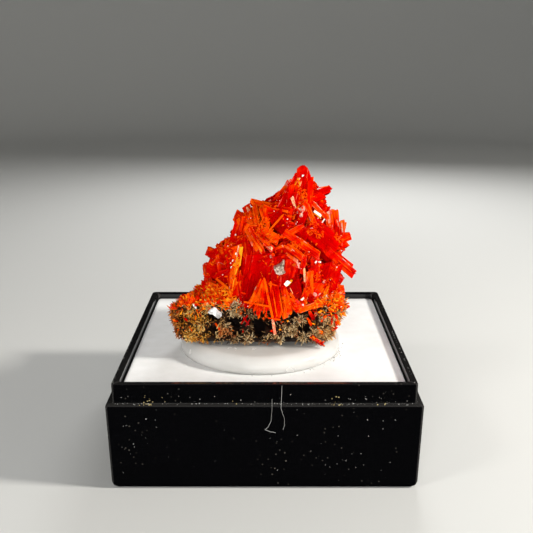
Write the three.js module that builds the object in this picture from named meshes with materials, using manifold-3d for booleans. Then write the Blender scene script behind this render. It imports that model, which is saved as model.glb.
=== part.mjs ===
// Crocoite on matrix, on a translucent pad in a black thumbnail display-box base.
// Millimetres, +Z up, +X to the right, front towards -Y.
// The origin is the centre of the box base's underside.
import * as THREE from 'three';
import { mergeVertices } from 'three/addons/utils/BufferGeometryUtils.js';
import Module from 'manifold-3d';

const wasm = await Module();
wasm.setup();

// ---------------------------------------------------------------- driving dimensions

// Box base: a square tray whose stepped lip once took a lid.
const BOX_SIDE = 32;
const BOX_FOOT_SIDE = 31.6;
const BOX_CORNER_RADIUS = 0.45;
const SHOULDER_HEIGHT = 9.4;
const RIM_HEIGHT = 11.5;
const LIP_SIDE = 30.8;
const WALL_THICKNESS = 0.75;
const FLOOR_THICKNESS = 1.25;
const EDGE_ROUNDING = 0.25;

// White insert: fills the tray to just under the rim.
const INSERT_TOP = 10.8;
const INSERT_SIDE_GAP = 0.1;

// Pad: a low round cake of clear mounting gel.
const PAD_CENTRE = [-0.5, -2.5];
const PAD_RADIUS = 9.2;
const PAD_HEIGHT = 1.75;

// Specimen: everything below is given above the matrix's underside.
const SEAT_GAP = 0.3;
const SPECIMEN_BASE = INSERT_TOP + PAD_HEIGHT + SEAT_GAP;
const MATRIX_CENTRE = [-0.9, -1.4, 2.45];
const MATRIX_HALF_SIZE = [8.85, 6.6, 2.45];
const PLAN_SQUARENESS = 6;
const EDGE_SQUARENESS = 10;
const END_TAPER = 0.5;
const END_SHIFT = 2.9;
const RIGHT_LEAN = 0.1;
const FRONT_LEAN = 0.22;
const TOP_FALL = 0.08;
const LEFT_END_FALL = 0.3;
const MATRIX_DETAIL = 6;
const GROWTH_GAP = 0.3;

// Mound of crystals: its middle, half width and half depth at each height.
const MOUND_HEIGHTS = [3, 5, 7, 9, 11, 13, 15, 16.6, 18.3];
const MOUND_CENTRE_X = [0.2, 0.3, 1.2, 1.6, 2.4, 2.7, 3.7, 4.2, 4.3];
const MOUND_HALF_WIDTH = [8, 8, 7.7, 7.3, 6.6, 5.6, 3.2, 1.9, 1];
const MOUND_HALF_DEPTH = [7.2, 7.1, 6.5, 5.8, 5, 4, 2.6, 1.7, 0.9];
const MOUND_CENTRE_Y = -0.6;

// ---------------------------------------------------------------- small helpers

// The same run of numbers every time, from 0 to 1.
function numberRun(seed) {
  let state = seed;
  return () => {
    state = (Math.imul(state, 1664525) + 1013904223) >>> 0;
    return state / 4294967296;
  };
}

function between(low, high, share) {
  return low + (high - low) * share;
}

function interpolate(value, stops, values) {
  if (value <= stops[0]) return values[0];
  for (let i = 1; i < stops.length; i += 1) {
    if (value <= stops[i]) {
      return between(values[i - 1], values[i], (value - stops[i - 1]) / (stops[i] - stops[i - 1]));
    }
  }
  return values[values.length - 1];
}

function toSolid(geometry) {
  const bare = geometry.clone();
  bare.deleteAttribute('normal');
  bare.deleteAttribute('uv');
  const merged = mergeVertices(bare, 1e-4);
  return new wasm.Manifold(new wasm.Mesh({
    numProp: 3,
    vertProperties: new Float32Array(merged.attributes.position.array),
    triVerts: new Uint32Array(merged.index.array),
  }));
}

function toGeometry(solid) {
  const mesh = solid.getMesh();
  const geometry = new THREE.BufferGeometry();
  const positions = new Float32Array(mesh.vertProperties);
  geometry.setAttribute('position', new THREE.BufferAttribute(positions, 3));
  geometry.setIndex(new THREE.BufferAttribute(new Uint32Array(mesh.triVerts), 1));
  geometry.computeVertexNormals();
  return geometry;
}

function joinAll(solids) {
  return solids.reduce((joined, solid) => joined.add(solid));
}

function geometryFrom(points, triangles) {
  const geometry = new THREE.BufferGeometry();
  geometry.setAttribute('position', new THREE.Float32BufferAttribute(points.flat(), 3));
  geometry.setIndex(triangles.flat());
  return geometry;
}

function namedMesh(name, geometry, colour, roughness, extra = {}) {
  const material = new THREE.MeshStandardMaterial({ color: colour, roughness, metalness: 0, ...extra });
  const mesh = new THREE.Mesh(geometry, material);
  mesh.name = name;
  return mesh;
}

// ---------------------------------------------------------------- display-box base and insert

// One level of a square stack: its corner points, each corner an arc.
function squareRing(half, radius, z, stepsPerCorner = 3) {
  const points = [];
  for (let corner = 0; corner < 4; corner += 1) {
    for (let step = 0; step <= stepsPerCorner; step += 1) {
      const angle = (corner + step / stepsPerCorner) * Math.PI / 2;
      const turn = (corner + 0.5) * Math.PI / 2;
      const cx = Math.sign(Math.cos(turn)) * (half - radius);
      const cy = Math.sign(Math.sin(turn)) * (half - radius);
      points.push([cx + radius * Math.cos(angle), cy + radius * Math.sin(angle), z]);
    }
  }
  return points;
}

// A closed body through a stack of rings with the same number of points.
function loft(rings) {
  const count = rings[0].length;
  const points = rings.flat();
  const triangles = [];
  for (let level = 0; level < rings.length - 1; level += 1) {
    for (let i = 0; i < count; i += 1) {
      const a = level * count + i;
      const b = level * count + (i + 1) % count;
      triangles.push([a, b, b + count], [a, b + count, a + count]);
    }
  }
  const top = (rings.length - 1) * count;
  for (let i = 1; i < count - 1; i += 1) {
    triangles.push([0, i + 1, i], [top, top + i, top + i + 1]);
  }
  return geometryFrom(points, triangles);
}

function displayBoxBase() {
  const foot = BOX_FOOT_SIDE / 2;
  const shoulder = BOX_SIDE / 2;
  const lip = LIP_SIDE / 2;
  const e = EDGE_ROUNDING;
  const r = BOX_CORNER_RADIUS;
  const outside = toSolid(loft([
    squareRing(foot - 0.7, r, 0),
    squareRing(foot - 0.2, r, 0.2),
    squareRing(foot, r, 0.7),
    squareRing(shoulder, r, SHOULDER_HEIGHT - e),
    squareRing(shoulder - e, r, SHOULDER_HEIGHT),
    squareRing(lip + 0.05, r, SHOULDER_HEIGHT + 0.02),
    squareRing(lip, r, SHOULDER_HEIGHT + 0.1),
    squareRing(lip, r, RIM_HEIGHT - 0.15),
    squareRing(lip - 0.15, r, RIM_HEIGHT),
  ]));
  const inside = toSolid(loft([
    squareRing(lip - WALL_THICKNESS, r, FLOOR_THICKNESS),
    squareRing(lip - WALL_THICKNESS, r, RIM_HEIGHT - 0.15),
    squareRing(lip - WALL_THICKNESS + 0.15, r, RIM_HEIGHT),
    squareRing(lip - WALL_THICKNESS + 0.15, r, RIM_HEIGHT + 1),
  ]));
  return namedMesh('display_box_base', toGeometry(outside.subtract(inside)), 0x0b0b0c, 0.12);
}

function foamInsert() {
  const half = LIP_SIDE / 2 - WALL_THICKNESS - INSERT_SIDE_GAP;
  const r = BOX_CORNER_RADIUS;
  const height = INSERT_TOP - FLOOR_THICKNESS;
  const geometry = loft([
    squareRing(half, r, 0),
    squareRing(half, r, height - 0.2),
    squareRing(half - 0.06, r, height - 0.06),
    squareRing(half - 0.2, r, height),
  ]);
  const mesh = namedMesh('foam_insert', geometry, 0xf4f4f2, 0.9);
  mesh.position.z = FLOOR_THICKNESS;
  return mesh;
}

// ---------------------------------------------------------------- mounting pad

function mountingPad() {
  const R = PAD_RADIUS;
  const H = PAD_HEIGHT;
  const profile = [
    [0, 0], [R - 0.1, 0], [R, 0.15], [R, H - 0.8],
    [R - 0.3, H - 0.3], [R - 0.9, H - 0.07], [R - 1.6, H], [0, H],
  ];
  const points = profile.map(([x, y]) => new THREE.Vector2(x, y));
  const geometry = new THREE.LatheGeometry(points, 32);
  geometry.rotateX(Math.PI / 2);
  const seeThrough = { transparent: true, opacity: 0.8 };
  const mesh = namedMesh('mounting_pad', toGeometry(toSolid(geometry)), 0xe9ecec, 0.25, seeThrough);
  mesh.position.set(PAD_CENTRE[0], PAD_CENTRE[1], INSERT_TOP);
  return mesh;
}

// ---------------------------------------------------------------- matrix

// Repeatable lumpiness from -1 to 1, smooth between the corners of unit cells.
function cornerValue(i, j, k) {
  const value = Math.sin(i * 127.1 + j * 311.7 + k * 74.7) * 43758.5453;
  return 2 * (value - Math.floor(value)) - 1;
}

function lumpiness(x, y, z) {
  const cell = [Math.floor(x), Math.floor(y), Math.floor(z)];
  const share = [x - cell[0], y - cell[1], z - cell[2]].map((s) => s * s * (3 - 2 * s));
  let total = 0;
  for (let corner = 0; corner < 8; corner += 1) {
    const step = [corner & 1, (corner >> 1) & 1, corner >> 2];
    const weight = step.reduce((w, on, axis) => w * (on ? share[axis] : 1 - share[axis]), 1);
    total += weight * cornerValue(cell[0] + step[0], cell[1] + step[1], cell[2] + step[2]);
  }
  return total;
}

// The slab's skin in one direction from its middle, grown outwards by "extra".
// Both ends are shallower than the middle, the left end is low,
// and the right end leans out towards its top.
function matrixPoint(direction, extra) {
  const [dx, dy, dz] = [direction.x, direction.y, direction.z];
  const plan = (Math.abs(dx) ** PLAN_SQUARENESS + Math.abs(dy) ** PLAN_SQUARENESS) ** (1 / PLAN_SQUARENESS);
  const norm = (plan ** EDGE_SQUARENESS + Math.abs(dz) ** EDGE_SQUARENESS) ** (1 / EDGE_SQUARENESS);
  const u = [dx / norm, dy / norm, dz / norm];
  const at = u.map((share, axis) => share * MATRIX_HALF_SIZE[axis]);
  const endness = Math.abs(u[0]) ** 3;
  const edgeOn = Math.min(1, Math.max(0, 4 - 4 * Math.abs(u[2])) + 0.25);
  const lump = 0.5 * lumpiness(at[0] * 0.5 + 7, at[1] * 0.5, at[2] * 0.6)
    + 0.3 * lumpiness(at[0] * 1.2, at[1] * 1.2 + 5, at[2] * 1.3);
  const out = 1 + (lump * edgeOn + extra) / (Math.hypot(at[0], at[1]) + 1);
  const rightLean = Math.max(0, u[0]) * (at[2] - 0.6) * RIGHT_LEAN;
  const frontLean = Math.max(0, -u[1]) * (at[2] + MATRIX_HALF_SIZE[2]) * FRONT_LEAN;
  const fall = TOP_FALL * (endness + u[1] + 1) + (u[0] < 0 ? LEFT_END_FALL * endness : 0);
  return [
    MATRIX_CENTRE[0] + at[0] * out + rightLean,
    MATRIX_CENTRE[1] + at[1] * out * (1 - END_TAPER * endness) - END_SHIFT * endness + frontLean,
    MATRIX_CENTRE[2] + at[2] * (dz > 0 ? 1 - fall : 1) + extra * u[2],
  ];
}

function matrixSlab(extra, detail) {
  const geometry = new THREE.IcosahedronGeometry(1, detail);
  const positions = geometry.attributes.position;
  const direction = new THREE.Vector3();
  for (let i = 0; i < positions.count; i += 1) {
    direction.fromBufferAttribute(positions, i);
    positions.setXYZ(i, ...matrixPoint(direction, extra));
  }
  return toSolid(geometry);
}

// A rough low-cut pebble, used for both bumps and hollows.
function pebble(centre, size, seed) {
  const next = numberRun(seed);
  const round = new THREE.OctahedronGeometry(1, 1);
  round.deleteAttribute('normal');
  round.deleteAttribute('uv');
  const geometry = mergeVertices(round, 1e-4);
  const positions = geometry.attributes.position;
  for (let i = 0; i < positions.count; i += 1) {
    const swell = between(0.8, 1.2, next());
    positions.setXYZ(
      i,
      centre[0] + positions.getX(i) * size[0] * swell,
      centre[1] + positions.getY(i) * size[1] * swell,
      centre[2] + positions.getZ(i) * size[2] * swell,
    );
  }
  return toSolid(geometry);
}

// Hollows in the front face: x, height, half width, half height.
const FRONT_HOLLOWS = [
  [-6.3, 3.2, 0.95, 0.5],
  [-5.6, 1.5, 0.9, 0.5],
  [-3.3, 2.5, 1.1, 0.9],
  [-1.2, 1.8, 1, 0.75],
  [-0.3, 3.5, 0.6, 0.55],
  [-0.9, 0.5, 1.2, 0.45],
  [2.9, 0.6, 1, 0.45],
  [4.1, 1.9, 1, 0.5],
  [3.1, 3.4, 0.8, 0.5],
  [5.5, 3.3, 0.8, 0.6],
];
const FRONT_Y = MATRIX_CENTRE[1] - MATRIX_HALF_SIZE[1];
const BACK_Y = MATRIX_CENTRE[1] + MATRIX_HALF_SIZE[1];

// Bumps round the edge: turn in degrees from +X, height, size.
const EDGE_BUMPS = [
  [186, 1.7, 1.3], [203, 3.3, 1.3], [226, 1.4, 1.2], [318, 3.1, 1.2], [345, 3.2, 1.2],
  [35, 2, 1.4], [75, 3, 1.4], [112, 1.8, 1.4], [150, 2.6, 1.4],
];

function matrixBumps(grow) {
  return EDGE_BUMPS.map(([turn, height, size], i) => {
    const angle = THREE.MathUtils.degToRad(turn);
    const direction = new THREE.Vector3(Math.cos(angle), Math.sin(angle) * 0.72, 0);
    const [x, y] = matrixPoint(direction, -0.95 * size);
    return pebble([x, y, height], [size + grow, size + grow, size * 0.75 + grow], 300 + i);
  });
}

function matrixHollows() {
  const front = FRONT_HOLLOWS.map(([x, height, halfWidth, halfHeight], i) => (
    pebble([x, FRONT_Y + 0.2, height], [halfWidth, 1.1, halfHeight], 500 + i)));
  const back = [-4.6, -1.6, 1.6, 4.4].map((x, i) => (
    pebble([x, BACK_Y - 0.2, [1.3, 3.3, 1.6, 3][i]], [1.2, 1.1, 0.7], 600 + i)));
  const ends = [-4.6, -1.6].flatMap((y, i) => [
    pebble([MATRIX_CENTRE[0] - MATRIX_HALF_SIZE[0] + 0.1, y, 3.1 - i * 1.5], [0.9, 1, 0.6], 700 + i),
    pebble([MATRIX_CENTRE[0] + MATRIX_HALF_SIZE[0] - 0.1, y, 1.6 + i * 1.5], [0.9, 1, 0.6], 720 + i),
  ]);
  return [...front, ...back, ...ends];
}

function matrixSolid() {
  return joinAll([matrixSlab(0, MATRIX_DETAIL), ...matrixBumps(0)]).subtract(joinAll(matrixHollows()));
}

// The space that the crystals keep clear of: the same slab and bumps, a little larger.
function matrixClearance() {
  return joinAll([matrixSlab(GROWTH_GAP, MATRIX_DETAIL), ...matrixBumps(GROWTH_GAP)]);
}

// ---------------------------------------------------------------- crocoite crystals

// Section corners of a prism, as shares of its width and thickness.
const FOUR_SIDED = [[0.5, 0.3], [-0.36, 0.5], [-0.5, -0.3], [0.36, -0.5]];
const SIX_SIDED = [[0.5, 0.1], [0.26, 0.5], [-0.32, 0.46], [-0.5, -0.1], [-0.26, -0.5], [0.32, -0.46]];
const BROAD_CRYSTAL = 1.5;
const FOOT_SCALE = 0.86;

// Each crystal: name, foot, tip, width, thickness, roll in degrees, kind of end.
const CRYSTALS = [
  // The tall point at the top and the flanks beside it.
  ['top point', [3.8, -2.9, 14], [4.4, -1.4, 18.5], 1.6, 1.5, 18, 'chisel'],
  ['top point left', [2.4, -3.2, 14], [3.8, -1.6, 17.3], 1.1, 1, 5, 'flat'],
  ['top point foot', [2.7, -3.7, 13.5], [3.3, -2.1, 16.5], 1.4, 1, 0, 'chisel'],
  ['top point right', [4.7, -3.4, 13.9], [4.9, -1.4, 17.8], 0.78, 0.89, 30, 'flat'],
  ['right prong', [4.8, -2.7, 14.9], [7.3, -0.8, 15.9], 1.2, 1, 10, 'flat'],
  ['prong ledge', [4.9, -2.7, 14.6], [6.8, -2.4, 13.9], 1, 0.89, 20, 'flat'],
  ['left shoulder', [3.2, -2.7, 14.4], [1, -2.3, 14.5], 1, 0.89, 0, 'chisel'],
  ['broken end', [4.2, -2.1, 12.9], [3.9, -4.2, 13.9], 1.1, 1, 15, 'flat'],
  ['long blade', [5.5, -4.1, 12.4], [4.2, -3.6, 15.2], 0.66, 0.55, 10, 'point'],
  ['pale blade', [6.8, -2.9, 12.9], [5, -3, 14.9], 0.61, 0.55, 0, 'chisel'],
  ['bright face', [4.7, -4, 12.5], [5.9, -3.9, 13.7], 0.99, 0.66, 0, 'flat'],
  // The left shoulder of the mound.
  ['left arm', [2.9, -4.2, 13.9], [-1.6, -0.4, 14.2], 0.89, 0.78, -10, 'flat'],
  ['arm below', [2.8, -4.3, 12.7], [-0.3, -2.8, 13.8], 1.5, 0.99, 10, 'flat'],
  ['corner block', [-1.4, -3.7, 12], [-3.2, -0.4, 12.7], 1.5, 1.1, 0, 'flat'],
  ['corner top', [-1.2, -3.8, 12.1], [-2.1, -0.6, 13.7], 1.1, 1, 10, 'flat'],
  ['upright blade 1', [-0.8, -4.2, 12.3], [-1.1, -1.7, 14], 0.67, 0.56, 0, 'flat'],
  ['upright blade 2', [0.1, -4.3, 12.6], [-0.4, -2.4, 14.2], 0.77, 0.55, 15, 'chisel'],
  ['left edge', [-3.7, -3.5, 9.9], [-2.7, -1.7, 12.9], 0.89, 0.78, 0, 'chisel'],
  ['left edge inner', [-2.9, -4.4, 9.7], [-2.1, -2.5, 13.1], 1.1, 0.88, 20, 'flat'],
  ['broad left face', [2.6, -4.8, 10.9], [1.3, -3.5, 13.8], 1.9, 1.1, 10, 'flat'],
  ['left ledge', [-0.6, -4.2, 12], [1.5, -5.7, 11], 1.1, 0.87, 0, 'flat'],
  // The fan that spreads down from the left shoulder.
  ['fan 1', [-2.1, -3.3, 12.1], [-0.8, -5.9, 9.9], 0.54, 0.49, 0, 'chisel'],
  ['fan 2', [-1.6, -3.7, 12], [0, -6.3, 9.5], 0.65, 0.54, 10, 'chisel'],
  ['fan 3', [-0.8, -4.4, 11.6], [0.9, -6.3, 10.1], 0.76, 0.54, 0, 'flat'],
  ['fan 4', [-2.4, -2.6, 12.4], [-1.7, -6, 8.7], 0.87, 0.66, 0, 'chisel'],
  ['fan back', [-1, -3.6, 11.7], [-0.6, -6.1, 8.5], 1.7, 0.98, 0, 'flat'],
  // The plates on the upper right.
  ['plate 1', [7.4, -3.4, 10.5], [7, -2.5, 13.7], 0.89, 0.44, 0, 'flat'],
  ['plate 2', [8, -2.8, 10.4], [7.8, -1.3, 13.5], 0.9, 0.67, 0, 'flat'],
  ['plate 3', [8.3, -2.4, 9.6], [8.8, -0.4, 12.2], 0.9, 0.57, 0, 'chisel'],
  ['plate block 1', [7.4, -3.4, 10.2], [9.6, -0.3, 10.3], 1.1, 0.9, 0, 'flat'],
  ['plate block 2', [7.2, -3.6, 9.6], [9.3, -0.3, 9.4], 1.1, 0.79, 0, 'flat'],
  ['big smooth face', [4.4, -4.2, 12.5], [8.2, -3.1, 8.8], 2, 1.2, 5, 'flat'],
  ['long right prong', [6.7, -4.4, 9.7], [10.2, -0.3, 5.8], 1.3, 1.1, 0, 'flat'],
  // The middle of the front.
  ['leading prism', [2.1, -5.2, 11.9], [5.9, -6.2, 9.4], 0.97, 0.86, 5, 'flat'],
  ['end post', [5.7, -5.6, 7], [5.5, -5.9, 9.3], 0.86, 0.75, 0, 'flat'],
  ['broad end', [4.3, -2.4, 10.3], [3.6, -5.5, 11.5], 3, 1.9, 0, 'flat'],
  ['rim blade', [1.9, -5.2, 11.3], [4.2, -5.2, 12.6], 0.65, 0.54, 0, 'chisel'],
  ['orange prism', [2.4, -5.7, 10.5], [4.1, -6.7, 9.3], 0.8, 0.64, 0, 'flat'],
  ['pale stub', [2.6, -5.7, 8.6], [3.7, -6.8, 8.6], 0.75, 0.64, 0, 'flat'],
  ['thin post', [4, -6.3, 7.5], [4.3, -6.3, 9.6], 0.59, 0.53, 0, 'chisel'],
  ['white face', [1.5, -7.2, 5.9], [2.9, -7.5, 7.3], 0.74, 0.63, 0, 'flat'],
  ['dark face', [3.8, -6.3, 3.8], [2.8, -6.9, 7.1], 2, 1.3, 10, 'flat'],
  ['smooth face', [2.3, -6.3, 6.3], [2.9, -6.1, 9.2], 1.8, 1.1, 0, 'flat'],
  ['right post', [4.5, -6.2, 5.2], [4.8, -6.3, 7.9], 0.96, 0.75, 0, 'chisel'],
  ['grain seat', [1, -6.1, 6.7], [1.5, -5.9, 9.4], 1.9, 1.1, 0, 'flat'],
  // Crystals that hang over the front of the matrix.
  ['hanging broad', [1.1, -6.3, 8.2], [1, -8.8, 3], 0.95, 0.84, 0, 'chisel'],
  ['hanging right', [1.9, -6.6, 7.6], [1.6, -8.6, 3.6], 0.84, 0.84, 0, 'chisel'],
  ['hanging left', [0.1, -6.3, 8.2], [0.4, -8.4, 4.2], 0.95, 0.74, 0, 'chisel'],
  ['spray 1', [-0.3, -6.8, 7], [-1.5, -8.3, 4.6], 0.63, 0.52, 0, 'point'],
  ['spray 2', [-0.1, -7, 6.6], [-0.8, -8.7, 3.5], 0.63, 0.52, 0, 'point'],
  ['wedge', [1.7, -7.1, 6.2], [2.3, -8.5, 3.5], 0.94, 0.63, 0, 'flat'],
  ['yellow bar', [3.7, -7.1, 3.3], [6.7, -5.7, 4.3], 0.75, 0.64, 0, 'flat'],
  ['left bar', [2, -7.3, 5.4], [3.7, -7.9, 3.8], 0.73, 0.73, 0, 'flat'],
  ['raised bar', [3.7, -7, 3.6], [4.7, -6.8, 6.2], 0.74, 0.64, 0, 'chisel'],
  // The lower right of the mound.
  ['low right 1', [5.8, -5.2, 8.1], [8.8, -0.4, 5], 1.3, 1, 0, 'flat'],
  ['low right 2', [5.1, -5.8, 7], [8.3, -0.5, 3.4], 1.7, 1.1, 0, 'flat'],
  ['low right 3', [6.3, -4.8, 5.5], [9, -0.3, 3.8], 1.2, 1, 0, 'flat'],
  ['low post 1', [5.4, -5.7, 5.5], [5.4, -5.7, 8.7], 0.97, 0.75, 0, 'flat'],
  ['low post 2', [6.5, -4.8, 5.7], [6.4, -5.1, 8.7], 1.1, 0.76, 0, 'chisel'],
  ['low post 3', [7.7, -3, 5.1], [7.5, -4.2, 8], 0.99, 0.77, 0, 'flat'],
  ['low front', [4.9, -6.1, 4.2], [6.1, -5.7, 6.4], 1.3, 0.96, 0, 'flat'],
  ['low edge', [7.1, -3.7, 3.3], [8.8, -0.4, 3.3], 1.2, 1, 0, 'flat'],
  // The lower left of the mound.
  ['striated prism', [-3.9, -6.7, 4.4], [-2.5, -5, 10.6], 0.7, 0.64, 0, 'chisel'],
  ['left face', [-3.6, -6.4, 4.8], [-3.7, -3, 10.4], 1.5, 1.1, 10, 'flat'],
  ['left face low', [-4.6, -5.7, 5], [-4.8, -2.4, 9.5], 1.3, 0.99, 0, 'flat'],
  ['left knob', [-4.5, -4.1, 7.3], [-6.3, -0.4, 8.7], 1.1, 1, 10, 'flat'],
  ['left wing', [-5.3, -5.2, 4.9], [-7, -0.5, 6.9], 1.1, 0.89, 0, 'flat'],
  ['left wing low', [-5.1, -5.5, 4.3], [-6.9, -2.8, 5.6], 1.1, 0.88, 0, 'flat'],
  ['left tip 1', [-3.4, -4.5, 9], [-4.2, -2.2, 10.5], 0.66, 0.55, 0, 'chisel'],
  ['left tip 2', [-4, -4.3, 8.3], [-5.2, -1.2, 9.6], 0.78, 0.67, 0, 'chisel'],
  ['left wedge', [-3.6, -5.3, 7.6], [-5.7, -4.1, 6.5], 0.98, 0.76, 0, 'point'],
  ['left crust 1', [-4.1, -6.4, 4], [-6.1, -4.6, 5.5], 1.2, 0.86, 0, 'chisel'],
  ['left crust 2', [-5.4, -5.4, 3.5], [-7.9, -0.5, 3.9], 1.2, 0.89, 0, 'flat'],
  ['inner face 1', [-1.6, -6.9, 4.3], [-1.9, -5.4, 9.3], 1.4, 0.96, 0, 'flat'],
  ['inner face 2', [-0.3, -7.1, 4.3], [-0.8, -5.9, 9.2], 1.5, 1.1, 15, 'flat'],
  ['inner face 3', [0.3, -7.1, 5], [0.1, -5.9, 9.4], 1.2, 0.96, 0, 'flat'],
  ['inner post', [-2.7, -6.8, 3.8], [-2.4, -5.6, 8.6], 1.2, 0.96, 0, 'chisel'],
];

// A prism from foot to tip. At roll 0 its width lies across the front view.
function crystal([, foot, tip, width, thickness, roll, end]) {
  const start = new THREE.Vector3(...foot);
  const axis = new THREE.Vector3(...tip).sub(start);
  const length = axis.length();
  axis.normalize();
  const front = new THREE.Vector3(0, -0.963, 0.27);
  const across = new THREE.Vector3().crossVectors(axis, front);
  if (across.length() < 0.2) across.set(1, 0, 0).projectOnPlane(axis);
  across.normalize().applyAxisAngle(axis, THREE.MathUtils.degToRad(roll));
  const through = new THREE.Vector3().crossVectors(axis, across);
  const corners = width > BROAD_CRYSTAL ? SIX_SIDED : FOUR_SIDED;
  const at = (a, b, along) => start.clone()
    .addScaledVector(across, a * width)
    .addScaledVector(through, b * thickness)
    .addScaledVector(axis, along)
    .toArray();

  const endLength = Math.min({ flat: 0.3, chisel: 0.75, point: 1.2 }[end] * width, 0.6 * length);
  const ringAt = (scale, along) => corners.map(([a, b]) => at(a * scale, b * scale, along(a)));
  const slope = end === 'flat' ? endLength : 0;
  const rings = [
    ringAt(FOOT_SCALE, () => 0),
    ringAt(1, (a) => length - endLength / 2 - (end === 'flat' ? 0 : endLength / 2) + slope * a),
  ];
  const tops = {
    flat: [],
    chisel: [at(0.24, 0.05, length), at(-0.26, -0.05, length - 0.35 * endLength)],
    point: [at(0.14, 0.05, length)],
  }[end];
  return toSolid(prismGeometry(rings, tops, corners));
}

function prismGeometry(rings, tops, corners) {
  const count = corners.length;
  const points = [...rings.flat(), ...tops];
  const triangles = [];
  for (let i = 0; i < count; i += 1) {
    const next = (i + 1) % count;
    triangles.push([i, next, next + count], [i, next + count, i + count]);
  }
  for (let i = 1; i < count - 1; i += 1) triangles.push([0, i + 1, i]);
  if (tops.length === 0) {
    for (let i = 1; i < count - 1; i += 1) triangles.push([count, count + i, count + i + 1]);
    return geometryFrom(points, triangles);
  }
  const first = 2 * count;
  const ridgeOf = corners.map(([a]) => (tops.length === 2 && a < 0 ? first + 1 : first));
  for (let i = 0; i < count; i += 1) {
    const next = (i + 1) % count;
    triangles.push([count + i, count + next, ridgeOf[i]]);
    if (ridgeOf[i] !== ridgeOf[next]) triangles.push([count + next, ridgeOf[next], ridgeOf[i]]);
  }
  return geometryFrom(points, triangles);
}

// A point of the mound: a turn about its middle, a height, and how far out from the middle.
function moundPoint(turn, height, out) {
  const halfWidth = interpolate(height, MOUND_HEIGHTS, MOUND_HALF_WIDTH);
  const halfDepth = interpolate(height, MOUND_HEIGHTS, MOUND_HALF_DEPTH);
  return [
    interpolate(height, MOUND_HEIGHTS, MOUND_CENTRE_X) + halfWidth * out * Math.cos(turn),
    MOUND_CENTRE_Y + halfDepth * out * Math.sin(turn),
    height,
  ];
}

// Stout crystals that fill the middle of the mound.
function coreCrystals() {
  const tiers = [
    { count: 6, from: 2.5, to: 6.4, out: 0.7, width: 4.4, shift: 0.3 },
    { count: 5, from: 3.5, to: 10, out: 0.66, width: 4, shift: 0.8 },
    { count: 4, from: 6, to: 13.2, out: 0.66, width: 3.2, shift: 0.1 },
    { count: 1, from: 8, to: 15.8, out: 0.1, width: 2.8, shift: 0 },
  ];
  return tiers.flatMap(({ count, from, to, out, width, shift }) => (
    Array.from({ length: count }, (_, i) => {
      const turn = (i + shift) * 2 * Math.PI / count;
      const foot = moundPoint(turn, from, 0.1);
      const tip = moundPoint(turn, to, out);
      return ['core', foot, tip, width, width * 0.85, 25 * i, 'chisel'];
    })));
}

// Crystals between and behind the listed ones, all round the mound.
const FILL_COUNT = 34;

function fillCrystals() {
  const next = numberRun(2024);
  return Array.from({ length: FILL_COUNT }, () => {
    const turn = between(-0.35, Math.PI + 0.35, next());
    const height = between(4.4, 16, next() ** 1.35);
    const out = between(0.86, 1, next());
    const rise = between(0.4, 4.2, next());
    const swing = between(-0.55, 0.55, next());
    const width = between(0.5, 1.35, next() ** 1.5);
    const foot = moundPoint(turn + swing, Math.max(3.4, height - rise), 0.42);
    const tip = moundPoint(turn, height, out);
    const end = ['flat', 'chisel', 'flat', 'point'][Math.floor(next() * 4)];
    return ['fill', foot, tip, width, width * between(0.55, 0.95, next()), 90 * next(), end];
  });
}

// A small tuft of crystals that spreads from one root.
function tuft({ root, lean, count, length, width, spread, seed }) {
  const next = numberRun(seed);
  const middle = new THREE.Vector3(...lean).normalize();
  return Array.from({ length: count }, () => {
    const jitter = new THREE.Vector3(next() - 0.5, next() - 0.5, next() - 0.5).multiplyScalar(spread);
    const reach = between(0.75, 1.15, next()) * length;
    const tip = new THREE.Vector3(...root).addScaledVector(middle.clone().add(jitter).normalize(), reach);
    const size = between(0.75, 1.2, next()) * width;
    return ['tuft', root, tip.toArray(), size, size * 0.7, 60 * next(), 'chisel'];
  });
}

const LEFT_END_TUFT = {
  root: [-8, -5.8, 3.9], lean: [-0.4, -0.5, 1], count: 5, length: 1.8, width: 0.85, spread: 2, seed: 41,
};
const RIGHT_END_TUFT = {
  root: [7.7, -5.2, 3.4], lean: [1, -0.7, 0.3], count: 5, length: 1.8, width: 0.9, spread: 1.7, seed: 52,
};
const FRONT_SPLINTER = ['splinter', [4.9, -8, 1], [6.7, -8.4, -0.1], 0.7, 0.5, 0, 'flat'];

// Grains of other minerals: centre and size.
const GREY_GRAIN = { centre: [1.5, -6.5, 7.9], size: [0.85, 0.7, 0.9], seed: 81 };
const WHITE_FLAKE = { centre: [-5.7, -8.15, 3.65], size: [1.05, 0.4, 0.72], seed: 92 };

function largestOf(solid) {
  return solid.decompose().sort((a, b) => b.volume() - a.volume())[0];
}

function grain({ centre, size, seed }, grow = 0) {
  return pebble(centre, size.map((half) => half + grow), seed);
}

function crystalGroup(list, ...clearances) {
  return largestOf(joinAll(list.map(crystal)).subtract(joinAll(clearances)));
}

// ---------------------------------------------------------------- the whole object

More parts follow.
